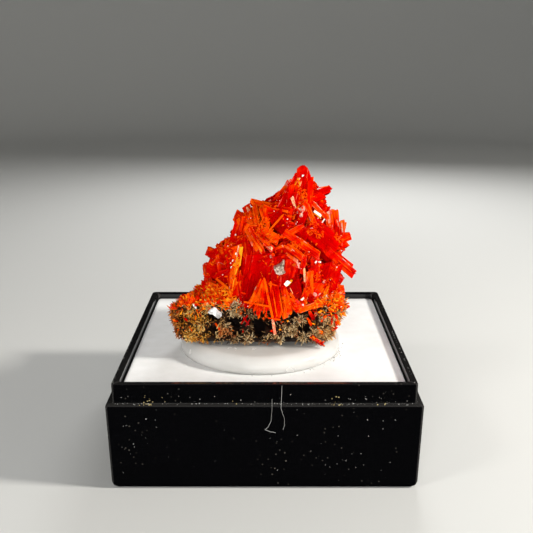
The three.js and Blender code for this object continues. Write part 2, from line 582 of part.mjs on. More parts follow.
function specimenGroup() {
  const red = 0xd8200c;
  const clear = matrixClearance();
  const moundCrystals = [...coreCrystals(), ...fillCrystals(), ...CRYSTALS];
  const mound = crystalGroup(moundCrystals, clear, grain(GREY_GRAIN, GROWTH_GAP));
  const group = new THREE.Group();
  group.position.z = SPECIMEN_BASE;
  group.add(
    namedMesh('matrix', toGeometry(matrixSolid()), 0x8a6a3a, 0.95),
    namedMesh('crocoite_crystals', toGeometry(mound), red, 0.15),
    namedMesh('left_end_crystals', toGeometry(crystalGroup(tuft(LEFT_END_TUFT), clear)), red, 0.15),
    namedMesh('right_end_crystals', toGeometry(crystalGroup(tuft(RIGHT_END_TUFT), clear)), red, 0.15),
    namedMesh('front_splinter', toGeometry(crystalGroup([FRONT_SPLINTER], clear)), red, 0.15),
    namedMesh('grey_grain', toGeometry(grain(GREY_GRAIN)), 0xb9a79a, 0.5),
    namedMesh('white_flake', toGeometry(grain(WHITE_FLAKE).subtract(clear)), 0xf1ece4, 0.4),
  );
  return group;
}

function crocoiteOnMatrix() {
  const group = new THREE.Group();
  group.add(displayBoxBase(), foamInsert(), mountingPad(), specimenGroup());
  return group;
}

export default crocoiteOnMatrix();
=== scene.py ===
# %% [markdown]
# # A thumbnail crocoite specimen, dressed for the camera
# The object is a mound of red-orange crocoite prisms on a piece of rusty matrix, pressed onto a milky gel pad
# that sits on the white insert of a black display-box base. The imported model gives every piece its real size
# and place. This script keeps those places and makes the fine surfaces: bevels, striations, needles, dust.

# %% Load the fixed frame
import math

import bpy
import numpy as np
from mathutils import Matrix, Vector, noise
from mathutils.bvhtree import BVHTree


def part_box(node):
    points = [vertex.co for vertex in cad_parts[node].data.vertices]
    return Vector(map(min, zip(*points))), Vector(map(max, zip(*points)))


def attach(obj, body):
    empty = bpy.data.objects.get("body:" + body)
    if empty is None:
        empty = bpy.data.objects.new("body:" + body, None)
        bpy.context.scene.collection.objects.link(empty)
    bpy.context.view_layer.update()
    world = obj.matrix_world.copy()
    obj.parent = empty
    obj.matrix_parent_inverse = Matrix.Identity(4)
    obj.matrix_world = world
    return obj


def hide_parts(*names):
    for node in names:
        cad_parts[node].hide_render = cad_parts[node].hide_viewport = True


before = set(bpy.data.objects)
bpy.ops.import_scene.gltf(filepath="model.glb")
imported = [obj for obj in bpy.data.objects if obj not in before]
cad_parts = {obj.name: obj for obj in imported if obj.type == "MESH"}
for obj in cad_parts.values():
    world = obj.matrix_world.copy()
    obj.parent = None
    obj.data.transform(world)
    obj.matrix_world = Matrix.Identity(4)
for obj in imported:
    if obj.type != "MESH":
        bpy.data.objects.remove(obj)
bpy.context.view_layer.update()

# %% [markdown]
# ## Units, numbers and meshes
# The specimen is small, so lists are in millimetres and one factor turns them into Blender's metres.
# Random detail comes from a short formula that always gives the same run, so that every run of the script
# makes the same specimen. A piece is gathered as points and faces, with a few named values at each point
# (how orange, how frosted, how near an edge), which its material reads as attributes.

# %% Millimetres and repeatable numbers
MM = 0.001


def number_run(seed):
    """The same run of numbers every time, from 0 to 1."""
    state = seed

    def following():
        nonlocal state
        state = (state * 1664525 + 1013904223) % 2**32
        return state / 2**32

    return following


def between(low, high, share):
    return low + (high - low) * share


print("one random number:", round(number_run(1)(), 3))

# %% Gather points, faces and point values, and turn them into one piece
class Gather:
    """Points (mm), faces and point values of one piece."""

    def __init__(self, *value_names):
        self.points = []
        self.faces = []
        self.values = {name: [] for name in value_names}

    def add(self, points, faces, **values):
        start = len(self.points)
        self.points.extend(points)
        self.faces.extend([[start + i for i in face] for face in faces])
        for name, known in self.values.items():
            given = values.get(name, 0.0)
            known.extend(given if isinstance(given, list) else [given] * len(points))


def make_piece(name, gather, material, replaces=(), smooth=False):
    mesh = bpy.data.meshes.new(name)
    mesh.from_pydata([[c * MM for c in p] for p in gather.points], [], gather.faces)
    for value_name, values in gather.values.items():
        flat = np.asarray(values, dtype=np.float32)
        kind, key = ("FLOAT_VECTOR", "vector") if flat.ndim == 2 else ("FLOAT", "value")
        attribute = mesh.attributes.new(value_name, kind, "POINT")
        attribute.data.foreach_set(key, flat.ravel())
    mesh.materials.append(material)
    mesh.polygons.foreach_set("use_smooth", [smooth] * len(mesh.polygons))
    mesh.update()
    piece = bpy.data.objects.new(name, mesh)
    bpy.context.scene.collection.objects.link(piece)
    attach(piece, "root")
    if replaces:
        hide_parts(*replaces)
    triangles = sum(len(face) - 2 for face in gather.faces)
    print(f"{name}: {len(gather.points)} points, {triangles} triangles")
    return piece


# %% [markdown]
# ## Materials without pictures
# Every finish is a Principled shader fed by noise and by the point values. These helpers only shorten the
# wiring. Values that are the same all over the surface, such as the refraction index, stay on the shader's
# own sockets.

# %% Shader helpers
class Finish:
    """A material with its Principled shader, and short ways to add and join nodes."""

    def __init__(self, name, **sockets):
        self.material = bpy.data.materials.new(name)
        self.material.use_nodes = True
        self.nodes = self.material.node_tree.nodes
        self.shader = self.nodes["Principled BSDF"]
        for socket, value in sockets.items():
            self.shader.inputs[socket.replace("_", " ")].default_value = value

    def node(self, kind, inputs=None, **settings):
        made = self.nodes.new(kind)
        for key, value in settings.items():
            setattr(made, key, value)
        for socket, value in (inputs or {}).items():
            self.feed(made.inputs[socket], value)
        return made

    def feed(self, socket, value):
        if isinstance(value, bpy.types.NodeSocket):
            self.material.node_tree.links.new(value, socket)
        else:
            socket.default_value = value

    def to_shader(self, socket, value):
        self.feed(self.shader.inputs[socket], value)

    def value(self, name, output="Fac"):
        return self.node("ShaderNodeAttribute", attribute_name=name).outputs[output]

    def place(self):
        return self.node("ShaderNodeTexCoord").outputs["Object"]

    def noise(self, vector, scale, detail=3.0, roughness=0.6):
        inputs = {"Vector": vector, "Scale": scale, "Detail": detail, "Roughness": roughness}
        return self.node("ShaderNodeTexNoise", inputs).outputs["Fac"]

    def maths(self, operation, first, second=0.0, third=0.0, clamp=False):
        inputs = {0: first, 1: second, 2: third}
        return self.node("ShaderNodeMath", inputs, operation=operation, use_clamp=clamp).outputs[0]

    def spread(self, value, from_low, from_high, to_low=0.0, to_high=1.0):
        limits = {"From Min": from_low, "From Max": from_high, "To Min": to_low, "To Max": to_high}
        return self.node("ShaderNodeMapRange", {"Value": value, **limits}).outputs[0]

    def ramp(self, value, *stops):
        made = self.node("ShaderNodeValToRGB", {"Fac": value})
        elements = made.color_ramp.elements
        while len(elements) < len(stops):
            elements.new(0.5)
        for element, (position, colour) in zip(elements, stops):
            element.position = position
            element.color = (*colour, 1.0)
        return made.outputs["Color"]

    def blend(self, share, first, second):
        made = self.node("ShaderNodeMix", data_type="RGBA")
        self.feed(made.inputs[0], share)
        self.feed(made.inputs[6], first if isinstance(first, bpy.types.NodeSocket) else (*first, 1.0))
        self.feed(made.inputs[7], second if isinstance(second, bpy.types.NodeSocket) else (*second, 1.0))
        return made.outputs[2]

    def bump(self, height, strength, distance_mm):
        inputs = {"Height": height, "Strength": strength, "Distance": distance_mm * MM}
        self.to_shader("Normal", self.node("ShaderNodeBump", inputs).outputs["Normal"])


def speckled(name, roughness, scale, *stops):
    """A matt finish whose colour only changes a little from place to place."""
    finish = Finish(name, Roughness=roughness)
    finish.to_shader("Base Color", finish.ramp(finish.noise(finish.place(), scale), *stops))
    return finish


# %% [markdown]
# ## Camera and light
# The camera looks down at a little over fifteen degrees with a slightly long lens, straight at the front of
# the box. A hard key light stands to the right, a second one to the upper left, a large soft one in front
# fills the shadows, and a weak one behind picks out the edges. The surroundings stay dim: crocoite bends
# light so strongly that a bright room would lay a grey veil over every face.

# %% The camera
LENS_MM = 53.38
CAMERA_PLACE = (0.187, -88.13, 44.12)
CAMERA_DOWN = math.radians(15.67)

camera_data = bpy.data.cameras.new("camera")
camera_data.lens = LENS_MM
camera_data.sensor_width = 36.0
camera_data.clip_start = 1 * MM
camera = bpy.data.objects.new("camera", camera_data)
camera.location = [c * MM for c in CAMERA_PLACE]
camera.rotation_euler = (math.pi / 2 - CAMERA_DOWN, 0, 0)
bpy.context.scene.collection.objects.link(camera)
bpy.context.scene.camera = camera
print("camera at", CAMERA_PLACE, "mm, lens", LENS_MM, "mm")

# %% The lights and the surroundings
SPECIMEN_MIDDLE = Vector((1, -2, 20)) * MM


def add_light(name, place_mm, size_mm, watts, colour=(1, 1, 1)):
    data = bpy.data.lights.new(name, "AREA")
    data.size = size_mm * MM
    data.energy = watts
    data.color = colour
    light = bpy.data.objects.new(name, data)
    light.location = Vector(place_mm) * MM
    light.rotation_euler = (SPECIMEN_MIDDLE - light.location).to_track_quat("-Z", "Y").to_euler()
    bpy.context.scene.collection.objects.link(light)
    return light


add_light("key_right", (160, -40, 105), 26, 0.44, (1.0, 0.97, 0.92))
add_light("second_left", (-110, -90, 130), 30, 0.06, (1.0, 0.98, 0.95))
add_light("front_fill", (-20, -230, 55), 110, 0.5)
add_light("back_rim", (30, 170, 110), 60, 0.2)
# These broad lights aren't mirrored: on so many flat faces they would leave large white patches.
for light in [thing for thing in bpy.context.scene.objects if thing.type == "LIGHT"]:
    light.visible_glossy = False
# Two narrow lights beside them are seen only in reflections, as small sharp glints.
for light in (
    add_light("glint_right", (160, -40, 105), 7, 0.012),
    add_light("glint_left", (-110, -60, 150), 7, 0.008),
):
    light.visible_diffuse = False
    light.visible_transmission = False

world = bpy.data.worlds.new("studio")
bpy.context.scene.world = world
world.use_nodes = True
world.node_tree.nodes["Background"].inputs["Color"].default_value = (0.8, 0.85, 0.9, 1)
world.node_tree.nodes["Background"].inputs["Strength"].default_value = 0.1
world.cycles_visibility.glossy = False
bpy.context.scene.view_settings.view_transform = "Standard"

# %% [markdown]
# A sheet of paper bent up behind a small thing hides the edge of the table. Here the floor does it on every
# side: it is flat round the box and turns up into a round wall well away from it. It is one disc of rings,
# each ring joined to the one inside it.

# %% The floor
FLAT_FLOOR = 300
FLOOR_BEND = 200
WALL_TOP = 700
FLOOR_SIDES = 96
FLAT_RINGS = 6
BEND_RINGS = 16

floor_rings = [(FLAT_FLOOR * i / FLAT_RINGS, 0) for i in range(1, FLAT_RINGS + 1)]
for i in range(1, BEND_RINGS + 1):
    turn = math.pi / 2 * i / BEND_RINGS
    floor_rings.append((FLAT_FLOOR + FLOOR_BEND * math.sin(turn), FLOOR_BEND * (1 - math.cos(turn))))
floor_rings.append((FLAT_FLOOR + FLOOR_BEND, WALL_TOP))
floor_points = [(0, 0, 0)]
floor_faces = []
for ring, (radius, height) in enumerate(floor_rings):
    for i in range(FLOOR_SIDES):
        turn = 2 * math.pi * i / FLOOR_SIDES
        floor_points.append((radius * math.cos(turn) * MM, radius * math.sin(turn) * MM, height * MM))
        here = 1 + ring * FLOOR_SIDES + i
        beside = 1 + ring * FLOOR_SIDES + (i + 1) % FLOOR_SIDES
        inner = (0,) if ring == 0 else (beside - FLOOR_SIDES, here - FLOOR_SIDES)
        floor_faces.append((here, beside, *inner))
floor_finish = Finish("pale_floor", Base_Color=(0.62, 0.62, 0.6, 1), Roughness=0.75)
floor_mesh = bpy.data.meshes.new("floor")
floor_mesh.from_pydata(floor_points, [], floor_faces)
floor_mesh.shade_smooth()
floor_mesh.materials.append(floor_finish.material)
floor = bpy.data.objects.new("floor", floor_mesh)
bpy.context.scene.collection.objects.link(floor)
floor.visible_glossy = False
print("floor:", len(floor_points), "points,", len(floor_faces), "faces")

# %% [markdown]
# ## The display-box base
# It is one moulding of black styrene: a slightly tapered tray, a ledge where the lid lands, and a thin
# raised lip. A cube with bevels and an inset would do too, but a stack of rounded squares, joined ring to
# ring, gives all of it in one closed skin. Every edge gets a small round so that it catches a line of light,
# which is what makes glossy black plastic readable.

# %% Rounded squares and stacks of rings
def rounded_square(half, radius, z, steps=8):
    points = []
    for corner in range(4):
        middle = math.radians(90 * corner + 45)
        cx = math.copysign(half - radius, math.cos(middle))
        cy = math.copysign(half - radius, math.sin(middle))
        for step in range(steps + 1):
            angle = math.radians(90 * (corner + step / steps))
            points.append([cx + radius * math.cos(angle), cy + radius * math.sin(angle), z])
    return points


def stack_faces(ring_count, size, bottom=True, top=True):
    faces = []
    for level in range(ring_count - 1):
        for i in range(size):
            a, b = level * size + i, level * size + (i + 1) % size
            faces.append([a, b, b + size, a + size])
    if bottom:
        faces.append(list(range(size))[::-1])
    if top:
        last = (ring_count - 1) * size
        faces.append([last + i for i in range(size)])
    return faces


def edge_arc(half, z, rounding, start_degrees, steps=3):
    """Steps (half side, height) round an outside edge, from one direction to the next."""
    out = []
    for step in range(steps + 1):
        angle = math.radians(start_degrees + 90 * step / steps)
        out.append((half - rounding + rounding * math.cos(angle), z - rounding + rounding * math.sin(angle)))
    return out


# %% The base from its profile
_, base_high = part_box("display_box_base")
SHOULDER_HALF = base_high.x / MM
RIM_HEIGHT = base_high.z / MM
LIP_HALF = 15.4
FOOT_HALF = 15.8
SHOULDER_HEIGHT = 9.4
WALL = 0.75
TRAY_FLOOR = 1.25
CORNER_RADIUS = 0.45

profile = [(FOOT_HALF - 0.7, 0.0), (FOOT_HALF - 0.35, 0.06), (FOOT_HALF - 0.12, 0.3), (FOOT_HALF, 0.7)]
profile += edge_arc(SHOULDER_HALF, SHOULDER_HEIGHT, 0.22, 0)
profile += [(LIP_HALF + 0.1, SHOULDER_HEIGHT), (LIP_HALF + 0.02, SHOULDER_HEIGHT + 0.03)]
profile += [(LIP_HALF, SHOULDER_HEIGHT + 0.12)]
profile += edge_arc(LIP_HALF, RIM_HEIGHT, 0.14, 0)
inner_half = LIP_HALF - WALL
profile += [(inner_half + 0.12, RIM_HEIGHT), (inner_half + 0.03, RIM_HEIGHT - 0.05)]
profile += [(inner_half, RIM_HEIGHT - 0.16), (inner_half, TRAY_FLOOR + 0.2), (inner_half - 0.2, TRAY_FLOOR)]

box_gather = Gather("wear")
CORNER_STEPS = 8
rings = [rounded_square(half, min(CORNER_RADIUS, half * 0.9), z, CORNER_STEPS) for half, z in profile]
# The ledge, the rim and the middle of each rounded corner are painted a lighter grey: painted highlights where
# they would shine.
wear = []
for half, z in profile:
    on_ledge = abs(z - SHOULDER_HEIGHT) < 0.05 and half > LIP_HALF
    shiny = 0.8 if on_ledge else 0.35 if z > RIM_HEIGHT - 0.03 else 0.0
    for point in range(len(rings[0])):
        corner = 1.0 if abs(point % (CORNER_STEPS + 1) - CORNER_STEPS / 2) < 1.1 and z > 0.5 else 0.0
        wear.append(max(shiny, corner))
box_gather.add([p for ring in rings for p in ring], stack_faces(len(rings), len(rings[0])), wear=wear)

black = Finish("black_styrene", Roughness=0.1, IOR=1.55)
place = black.place()
smudge = black.noise(place, 160.0, 4.0, 0.7)
specks = black.node("ShaderNodeTexVoronoi", {"Vector": place, "Scale": 1500.0}).outputs["Distance"]
dusty_areas = black.spread(black.noise(place, 240.0), 0.5, 0.7)
dusty = black.maths("MULTIPLY", black.spread(specks, 0.0, 0.16, 1.0, 0.0), dusty_areas)
# Near-black plastic, with the painted highlights in a lighter grey.
plain = black.blend(black.value("wear"), (0.0015, 0.0015, 0.0018), (0.028, 0.027, 0.026))
black.to_shader("Base Color", black.blend(black.maths("MULTIPLY", dusty, 0.5), plain, (0.3, 0.27, 0.22)))
black.to_shader("Roughness", black.spread(smudge, 0.35, 0.75, 0.05, 0.22))
black.bump(black.noise(place, 420.0, 2.0), 0.05, 0.03)
make_piece("display_box", box_gather, black.material, ["display_box_base"])

# %% [markdown]
# The box is a used one: white specks on its front, golden crumbs of stone on the ledge, and two fine hairs.
# On black plastic such dust is plain to see. A speckled texture would do from far away, but real grains
# catch the light and cast shadows. Those that can be told apart are listed one by one, and loops add the rest.

# %% Dust on the box
# Specks are (across, height) on the lower wall and on the lip, and a heap is (across, number of crumbs).
WALL_SPECKS = [
    (-14.2, 7.2), (-11.9, 8), (-10.9, 7.1), (-13.3, 5.2), (-14.5, 1.9), (10.3, 7.9), (11.9, 7.8),
    (13.1, 7.9), (11.9, 6.9), (7.4, 6.1), (10.5, 6.1), (9.8, 4.1), (8.3, 3.3), (10.1, 2.8), (9.3, 2.5),
    (8.6, 2.3), (12.8, 3.1), (6.2, 2.8), (7.6, 1), (1.3, 2.2), (4.7, 4.4), (3.3, 6.2),
]
LIP_SPECKS = [
    (-8.6, 10.2), (-6.5, 9.9), (-13.8, 11), (-13.7, 10.2), (-9.7, 10.5), (-7.5, 10.1), (-5, 10.2),
    (10.1, 10.2), (11.7, 10), (11.5, 10.1), (14.3, 9.7), (6.1, 9.8), (12.3, 9.6), (2.6, 10.4), (-2.4, 9.8),
    (8.6, 9.9),
]
CRUMB_HEAPS = [(-11.6, 20), (7.4, 12), (-9.5, 2), (-3, 2), (12, 3)]
HAIRS = [
    [(0.74, 9.94), (0.74, 9.18), (0.64, 7.77), (0.34, 7.11), (0.04, 6.83), (0.54, 6.61), (1.14, 6.48)],
    [(1.73, 11.4), (1.7, 10.27), (1.64, 9.18), (1.98, 8.04), (2, 7.33), (1.85, 6.83)],
]


def front_wall(x, z, out=0.02):
    """The point of the box's front that lies at this height."""
    half = between(FOOT_HALF, SHOULDER_HALF, z / SHOULDER_HEIGHT) if z < SHOULDER_HEIGHT else LIP_HALF
    return Vector((x, -half - out, z))


def speck(gather, at, size, next_number):
    """A tiny eight-sided grain stuck on the wall."""
    points = []
    for direction in ((1, 0, 0), (0, 0, 1), (-1, 0, 0), (0, 0, -1), (0, -1, 0), (0, 1, 0)):
        points.append(list(at + Vector(direction) * size * between(0.6, 1.3, next_number())))
    faces = []
    for i in range(4):
        j = (i + 1) % 4
        faces += [[i, j, 4], [j, i, 5]]
    gather.add(points, faces)


# %% Specks, dust and hairs
SCATTERED_SPECKS = 150
LEDGE_SPECKS = 90
LIP_FOOT_SPECKS = 20
RIM_SPECKS = 40
HAIR_THICKNESS = 0.014

following = number_run(333)
dust = Gather()
for x, z in WALL_SPECKS + LIP_SPECKS:
    speck(dust, front_wall(x, z), between(0.035, 0.07, following()), following)
for _ in range(SCATTERED_SPECKS):
    z = between(0.8, 11.2, following())
    turn = Matrix.Rotation(math.radians(90 * int(following() * 4)), 3, "Z")
    at = turn @ front_wall(between(-14.5, 14.5, following()), z, 0.01)
    speck(dust, at, between(0.015, 0.035, following()), following)
# Dust gathers where the lip stands on the ledge, and on the lip's top edge at the left and the right.
for number in range(LEDGE_SPECKS + LIP_FOOT_SPECKS + RIM_SPECKS):
    across = between(-15, 15.2, following() ** (0.6 if number % 3 else 2.0))
    if number < LEDGE_SPECKS:
        at = Vector((across, -LIP_HALF - 0.4 * following() ** 2, SHOULDER_HEIGHT + 0.02))
    elif number < LEDGE_SPECKS + LIP_FOOT_SPECKS:
        at = front_wall(across, SHOULDER_HEIGHT + 0.8 * following() ** 2)
    else:
        at = Vector((15.03 if number % 2 else -15.25, between(-15, 2, following() ** 1.3), RIM_HEIGHT))
    speck(dust, at, between(0.025, 0.075, following() ** 1.5), following)
for points in HAIRS:
    hair = [front_wall(x, z, 0.05) for x, z in points]
    for start, end in zip(hair, hair[1:]):
        side = (end - start).cross(Vector((0, 1, 0))).normalized() * HAIR_THICKNESS
        out = Vector((0, -HAIR_THICKNESS, 0))
        corners = [side, out, -side, -out]
        dust.add([list(at + corner) for at in (start, end) for corner in corners], stack_faces(2, 4))
lint = speckled("pale_dust", 0.7, 300.0, (0.4, (0.16, 0.15, 0.14)), (0.6, (0.5, 0.5, 0.48)))
make_piece("pale_dust", dust, lint.material, ())

# %% Golden crumbs on the ledge
crumbs = Gather()
for x, count in CRUMB_HEAPS:
    for _ in range(count):
        along = x + 1.1 * (following() + following() - 1)
        at = Vector((along, -LIP_HALF - between(0.05, 0.4, following()), SHOULDER_HEIGHT + 0.02))
        if following() < 0.35:
            at = front_wall(along, SHOULDER_HEIGHT + between(0.1, 0.9, following()))
        speck(crumbs, at, between(0.03, 0.085, following()), following)
gold = speckled("golden_crumbs", 0.6, 900.0, (0.35, (0.2, 0.14, 0.05)), (0.65, (0.6, 0.5, 0.25)))
make_piece("golden_crumbs", crumbs, gold.material, ())

# %% [markdown]
# ## The white insert
# A square of fine white foam fills the tray to just under the lip. It is the same stack of rounded squares
# again, with its top edge slightly crushed. The cut surface is matt with tiny cells, so the bump is fine and
# the roughness high.

# %% The insert
foam_low, foam_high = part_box("foam_insert")
FOAM_HALF = foam_high.x / MM
foam_profile = [(FOAM_HALF - 0.1, foam_low.z / MM), (FOAM_HALF, foam_low.z / MM + 0.1)]
foam_profile += edge_arc(FOAM_HALF, foam_high.z / MM, 0.2, 0, 5)
foam_gather = Gather()
rings = [rounded_square(half, CORNER_RADIUS, z) for half, z in foam_profile]
foam_gather.add([p for ring in rings for p in ring], stack_faces(len(rings), len(rings[0])))
foam = speckled("white_foam", 0.85, 500.0, (0.3, (0.83, 0.83, 0.81)), (0.7, (0.9, 0.9, 0.89)))
foam.bump(foam.noise(foam.place(), 2500.0, 4.0, 0.7), 0.25, 0.05)
make_piece("white_insert", foam_gather, foam.material, ["foam_insert"])

# %% [markdown]
# ## The gel pad
# The pad is a low round cake of soft gel, pressed flat. It is turned from a profile like a lathe part, with a
# slightly wavy rim where it was pinched off, and its top is dented by the weight of the stone. Clear gel this
# thick looks milky, so most of its look is light scattered inside it, with only a little seen through it.

# %% The pad
pad_low, pad_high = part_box("mounting_pad")
PAD_CENTRE = ((pad_low + pad_high) / 2 / MM).to_2d()
PAD_RADIUS = (pad_high.x - pad_low.x) / 2 / MM
PAD_BOTTOM = pad_low.z / MM
PAD_TOP = pad_high.z / MM
PAD_STEPS = 128


def pad_ring(radius, z):
    ring = []
    for step in range(PAD_STEPS):
        angle = 2 * math.pi * step / PAD_STEPS
        wave = noise.noise(Vector((math.cos(angle) * 1.6, math.sin(angle) * 1.6, z * 0.4)))
        reach = radius * (0.994 + 0.006 * wave)
        ring.append([PAD_CENTRE.x + reach * math.cos(angle), PAD_CENTRE.y + reach * math.sin(angle), z])
    return ring


height = PAD_TOP - PAD_BOTTOM
pad_profile = [(PAD_RADIUS - 0.25, 0.0), (PAD_RADIUS - 0.04, 0.08), (PAD_RADIUS, 0.3)]
for step in range(9):
    angle = math.radians(90 * step / 8)
    pad_profile.append((PAD_RADIUS - 1.3 + 1.3 * math.cos(angle), 0.5 + (height - 0.5) * math.sin(angle)))
pad_profile += [(PAD_RADIUS - 2.2, height), (PAD_RADIUS - 4.5, height - 0.04), (1.5, height - 0.1)]
rings = [pad_ring(radius, PAD_BOTTOM + z) for radius, z in pad_profile]
pad_gather = Gather()
pad_gather.add([p for ring in rings for p in ring], stack_faces(len(rings), PAD_STEPS))
gel = Finish("clear_gel", Roughness=0.16, IOR=1.42, Transmission_Weight=0.25, Subsurface_Weight=0.7)
gel.shader.inputs["Subsurface Radius"].default_value = (1.0, 1.0, 1.0)
gel.shader.inputs["Subsurface Scale"].default_value = 2 * MM
place = gel.place()
milky = gel.ramp(gel.noise(place, 180.0), (0.3, (0.72, 0.7, 0.66)), (0.7, (0.84, 0.82, 0.78)))
gel.to_shader("Base Color", milky)
gel.to_shader("Roughness", gel.spread(gel.noise(place, 300.0, 4.0), 0.35, 0.7, 0.1, 0.3))
gel.bump(gel.noise(place, 260.0, 2.0), 0.08, 0.15)
make_piece("gel_pad", pad_gather, gel.material, ["mounting_pad"], smooth=True)

# %% Grit of the stone along the pad's foot, mostly at the right
GRIT_COUNT = 34
GRIT_AT_THE_RIGHT = 24

following = number_run(2024)
grit = Gather()
for number in range(GRIT_COUNT):
    angle = math.radians(between(-62, -8, following()) if number < GRIT_AT_THE_RIGHT else 360 * following())
    reach = PAD_RADIUS + 0.5 * following() ** 2
    foot = PAD_CENTRE + Vector((math.cos(angle), math.sin(angle))) * reach
    speck(grit, Vector((*foot, PAD_BOTTOM + 0.02)), between(0.025, 0.075, following() ** 2), following)
dark_grit = speckled("dark_grit", 0.6, 900.0, (0.4, (0.03, 0.02, 0.015)), (0.6, (0.2, 0.14, 0.08)))
make_piece("pad_grit", grit, dark_grit.material, ())

# %% [markdown]
# ## The matrix
# The matrix is a slab of rusty rock full of small cavities, painted almost black as shade, and furred all
# over with tiny straw-coloured and ochre needles. The slab's skin follows the same rule as the imported
# solid. It starts as a lattice on a box, which gives cells of even size, and is then roughened with finer
# noise and hollowed out. The needles are separate small prisms, thousands of them, joined to the same mesh.

# %% The slab's rule
SPECIMEN_BASE = 12.85
MATRIX_CENTRE = (-0.9, -1.4, 2.45)
MATRIX_HALF = (8.85, 6.6, 2.45)
PLAN_SQUARENESS = 6
EDGE_SQUARENESS = 10
END_TAPER = 0.5
END_SHIFT = 2.9
RIGHT_LEAN = 0.1
FRONT_LEAN = 0.22
TOP_FALL = 0.08
LEFT_END_FALL = 0.3
BACK_LEFT_FALL = 0.55


def corner_value(i, j, k):
    value = np.sin(i * 127.1 + j * 311.7 + k * 74.7) * 43758.5453
    return 2 * (value - np.floor(value)) - 1


def lumpiness(x, y, z):
    """Smooth repeatable lumps from -1 to 1, for whole arrays of points at once."""
    cell = [np.floor(c) for c in (x, y, z)]
    share = [c - f for c, f in zip((x, y, z), cell)]
    share = [s * s * (3 - 2 * s) for s in share]
    total = 0
    for corner in range(8):
        step = [corner & 1, (corner >> 1) & 1, corner >> 2]
        weight = 1
        for axis in range(3):
            weight = weight * (share[axis] if step[axis] else 1 - share[axis])
        total = total + weight * corner_value(*[cell[axis] + step[axis] for axis in range(3)])
    return total


def matrix_skin(direction):
    """Points of the slab's skin, above the specimen's underside, in the given directions."""
    dx, dy, dz = direction.T
    plan = (np.abs(dx) ** PLAN_SQUARENESS + np.abs(dy) ** PLAN_SQUARENESS) ** (1 / PLAN_SQUARENESS)
    norm = (plan**EDGE_SQUARENESS + np.abs(dz) ** EDGE_SQUARENESS) ** (1 / EDGE_SQUARENESS)
    u = [dx / norm, dy / norm, dz / norm]
    at = [u[axis] * MATRIX_HALF[axis] for axis in range(3)]
    endness = np.abs(u[0]) ** 3
    edge_on = np.clip(4 - 4 * np.abs(u[2]), 0, 1)
    edge_on = np.minimum(1, edge_on + 0.25)
    lump = 0.5 * lumpiness(at[0] * 0.5 + 7, at[1] * 0.5, at[2] * 0.6)
    lump = lump + 0.3 * lumpiness(at[0] * 1.2, at[1] * 1.2 + 5, at[2] * 1.3)
    out = 1 + lump * edge_on / (np.hypot(at[0], at[1]) + 1)
    right_lean = np.maximum(0, u[0]) * (at[2] - 0.6) * RIGHT_LEAN
    front_lean = np.maximum(0, -u[1]) * (at[2] + MATRIX_HALF[2]) * FRONT_LEAN
    fall = TOP_FALL * (endness + u[1] + 1) + np.where(u[0] < 0, LEFT_END_FALL * endness, 0)
    fall = fall + BACK_LEFT_FALL * np.clip(-u[0] - 0.35, 0, 1) * np.clip(u[1] + 0.9, 0, 1)
    x = MATRIX_CENTRE[0] + at[0] * out + right_lean
    y = MATRIX_CENTRE[1] + at[1] * out * (1 - END_TAPER * endness) - END_SHIFT * endness + front_lean
    z = MATRIX_CENTRE[2] + at[2] * np.where(dz > 0, 1 - fall, 1)
    return np.stack([x, y, z], axis=1)


print("left and right ends:", matrix_skin(np.array([[-1.0, 0, 0], [1.0, 0, 0]])).round(1).tolist())

# %% A closed box lattice with even cells
MATRIX_CELL = 0.24


def box_lattice(counts):
    """Points on the surface of the cube from -1 to 1, and the faces between them."""
    index = {}
    points = []
    faces = []

    def corner(*steps):
        if steps not in index:
            index[steps] = len(points)
            points.append([2 * s / n - 1 for s, n in zip(steps, counts)])
        return index[steps]

    for axis in range(3):
        a, b = (axis + 1) % 3, (axis + 2) % 3
        for side in (0, counts[axis]):
            for i in range(counts[a]):
                for j in range(counts[b]):
                    face = []
                    for di, dj in ((0, 0), (1, 0), (1, 1), (0, 1)):
                        steps = [0, 0, 0]
                        steps[axis], steps[a], steps[b] = side, i + di, j + dj
                        face.append(corner(*steps))
                    faces.append(face if side else face[::-1])
    return np.array(points), faces


def point_normals(points, faces):
    quads = np.array(faces)
    across = np.cross(points[quads[:, 2]] - points[quads[:, 0]], points[quads[:, 3]] - points[quads[:, 1]])
    normals = np.zeros_like(points)
    for k in range(4):
        np.add.at(normals, quads[:, k], across)
    return normals / np.linalg.norm(normals, axis=1, keepdims=True)


counts = [round(2 * half / MATRIX_CELL) for half in MATRIX_HALF]
cube_points, slab_faces = box_lattice(counts)
slab = matrix_skin(cube_points)
slab_normals = point_normals(slab, slab_faces)
print("slab lattice:", counts, len(slab_faces), "cells")

# %% Bumps round the edge, and the black cavities
EDGE_BUMPS = [
    (186, 1.7, 1.3), (203, 3.3, 1.3), (226, 1.4, 1.2), (318, 3.1, 1.2), (345, 3.2, 1.2), (35, 2, 1.4),
    (75, 3, 1.4), (112, 1.8, 1.4), (150, 2.6, 1.4),
]
for turn, level, size in EDGE_BUMPS:
    angle = math.radians(turn)
    centre = matrix_skin(np.array([[math.cos(angle), math.sin(angle) * 0.72, 0.0]]))[0]
    away = np.linalg.norm((slab - [centre[0], centre[1], level]) / [1.5, 1.5, 1], axis=1)
    slab = slab + slab_normals * (0.3 * size * np.exp(-((away / (0.75 * size)) ** 2)))[:, None]

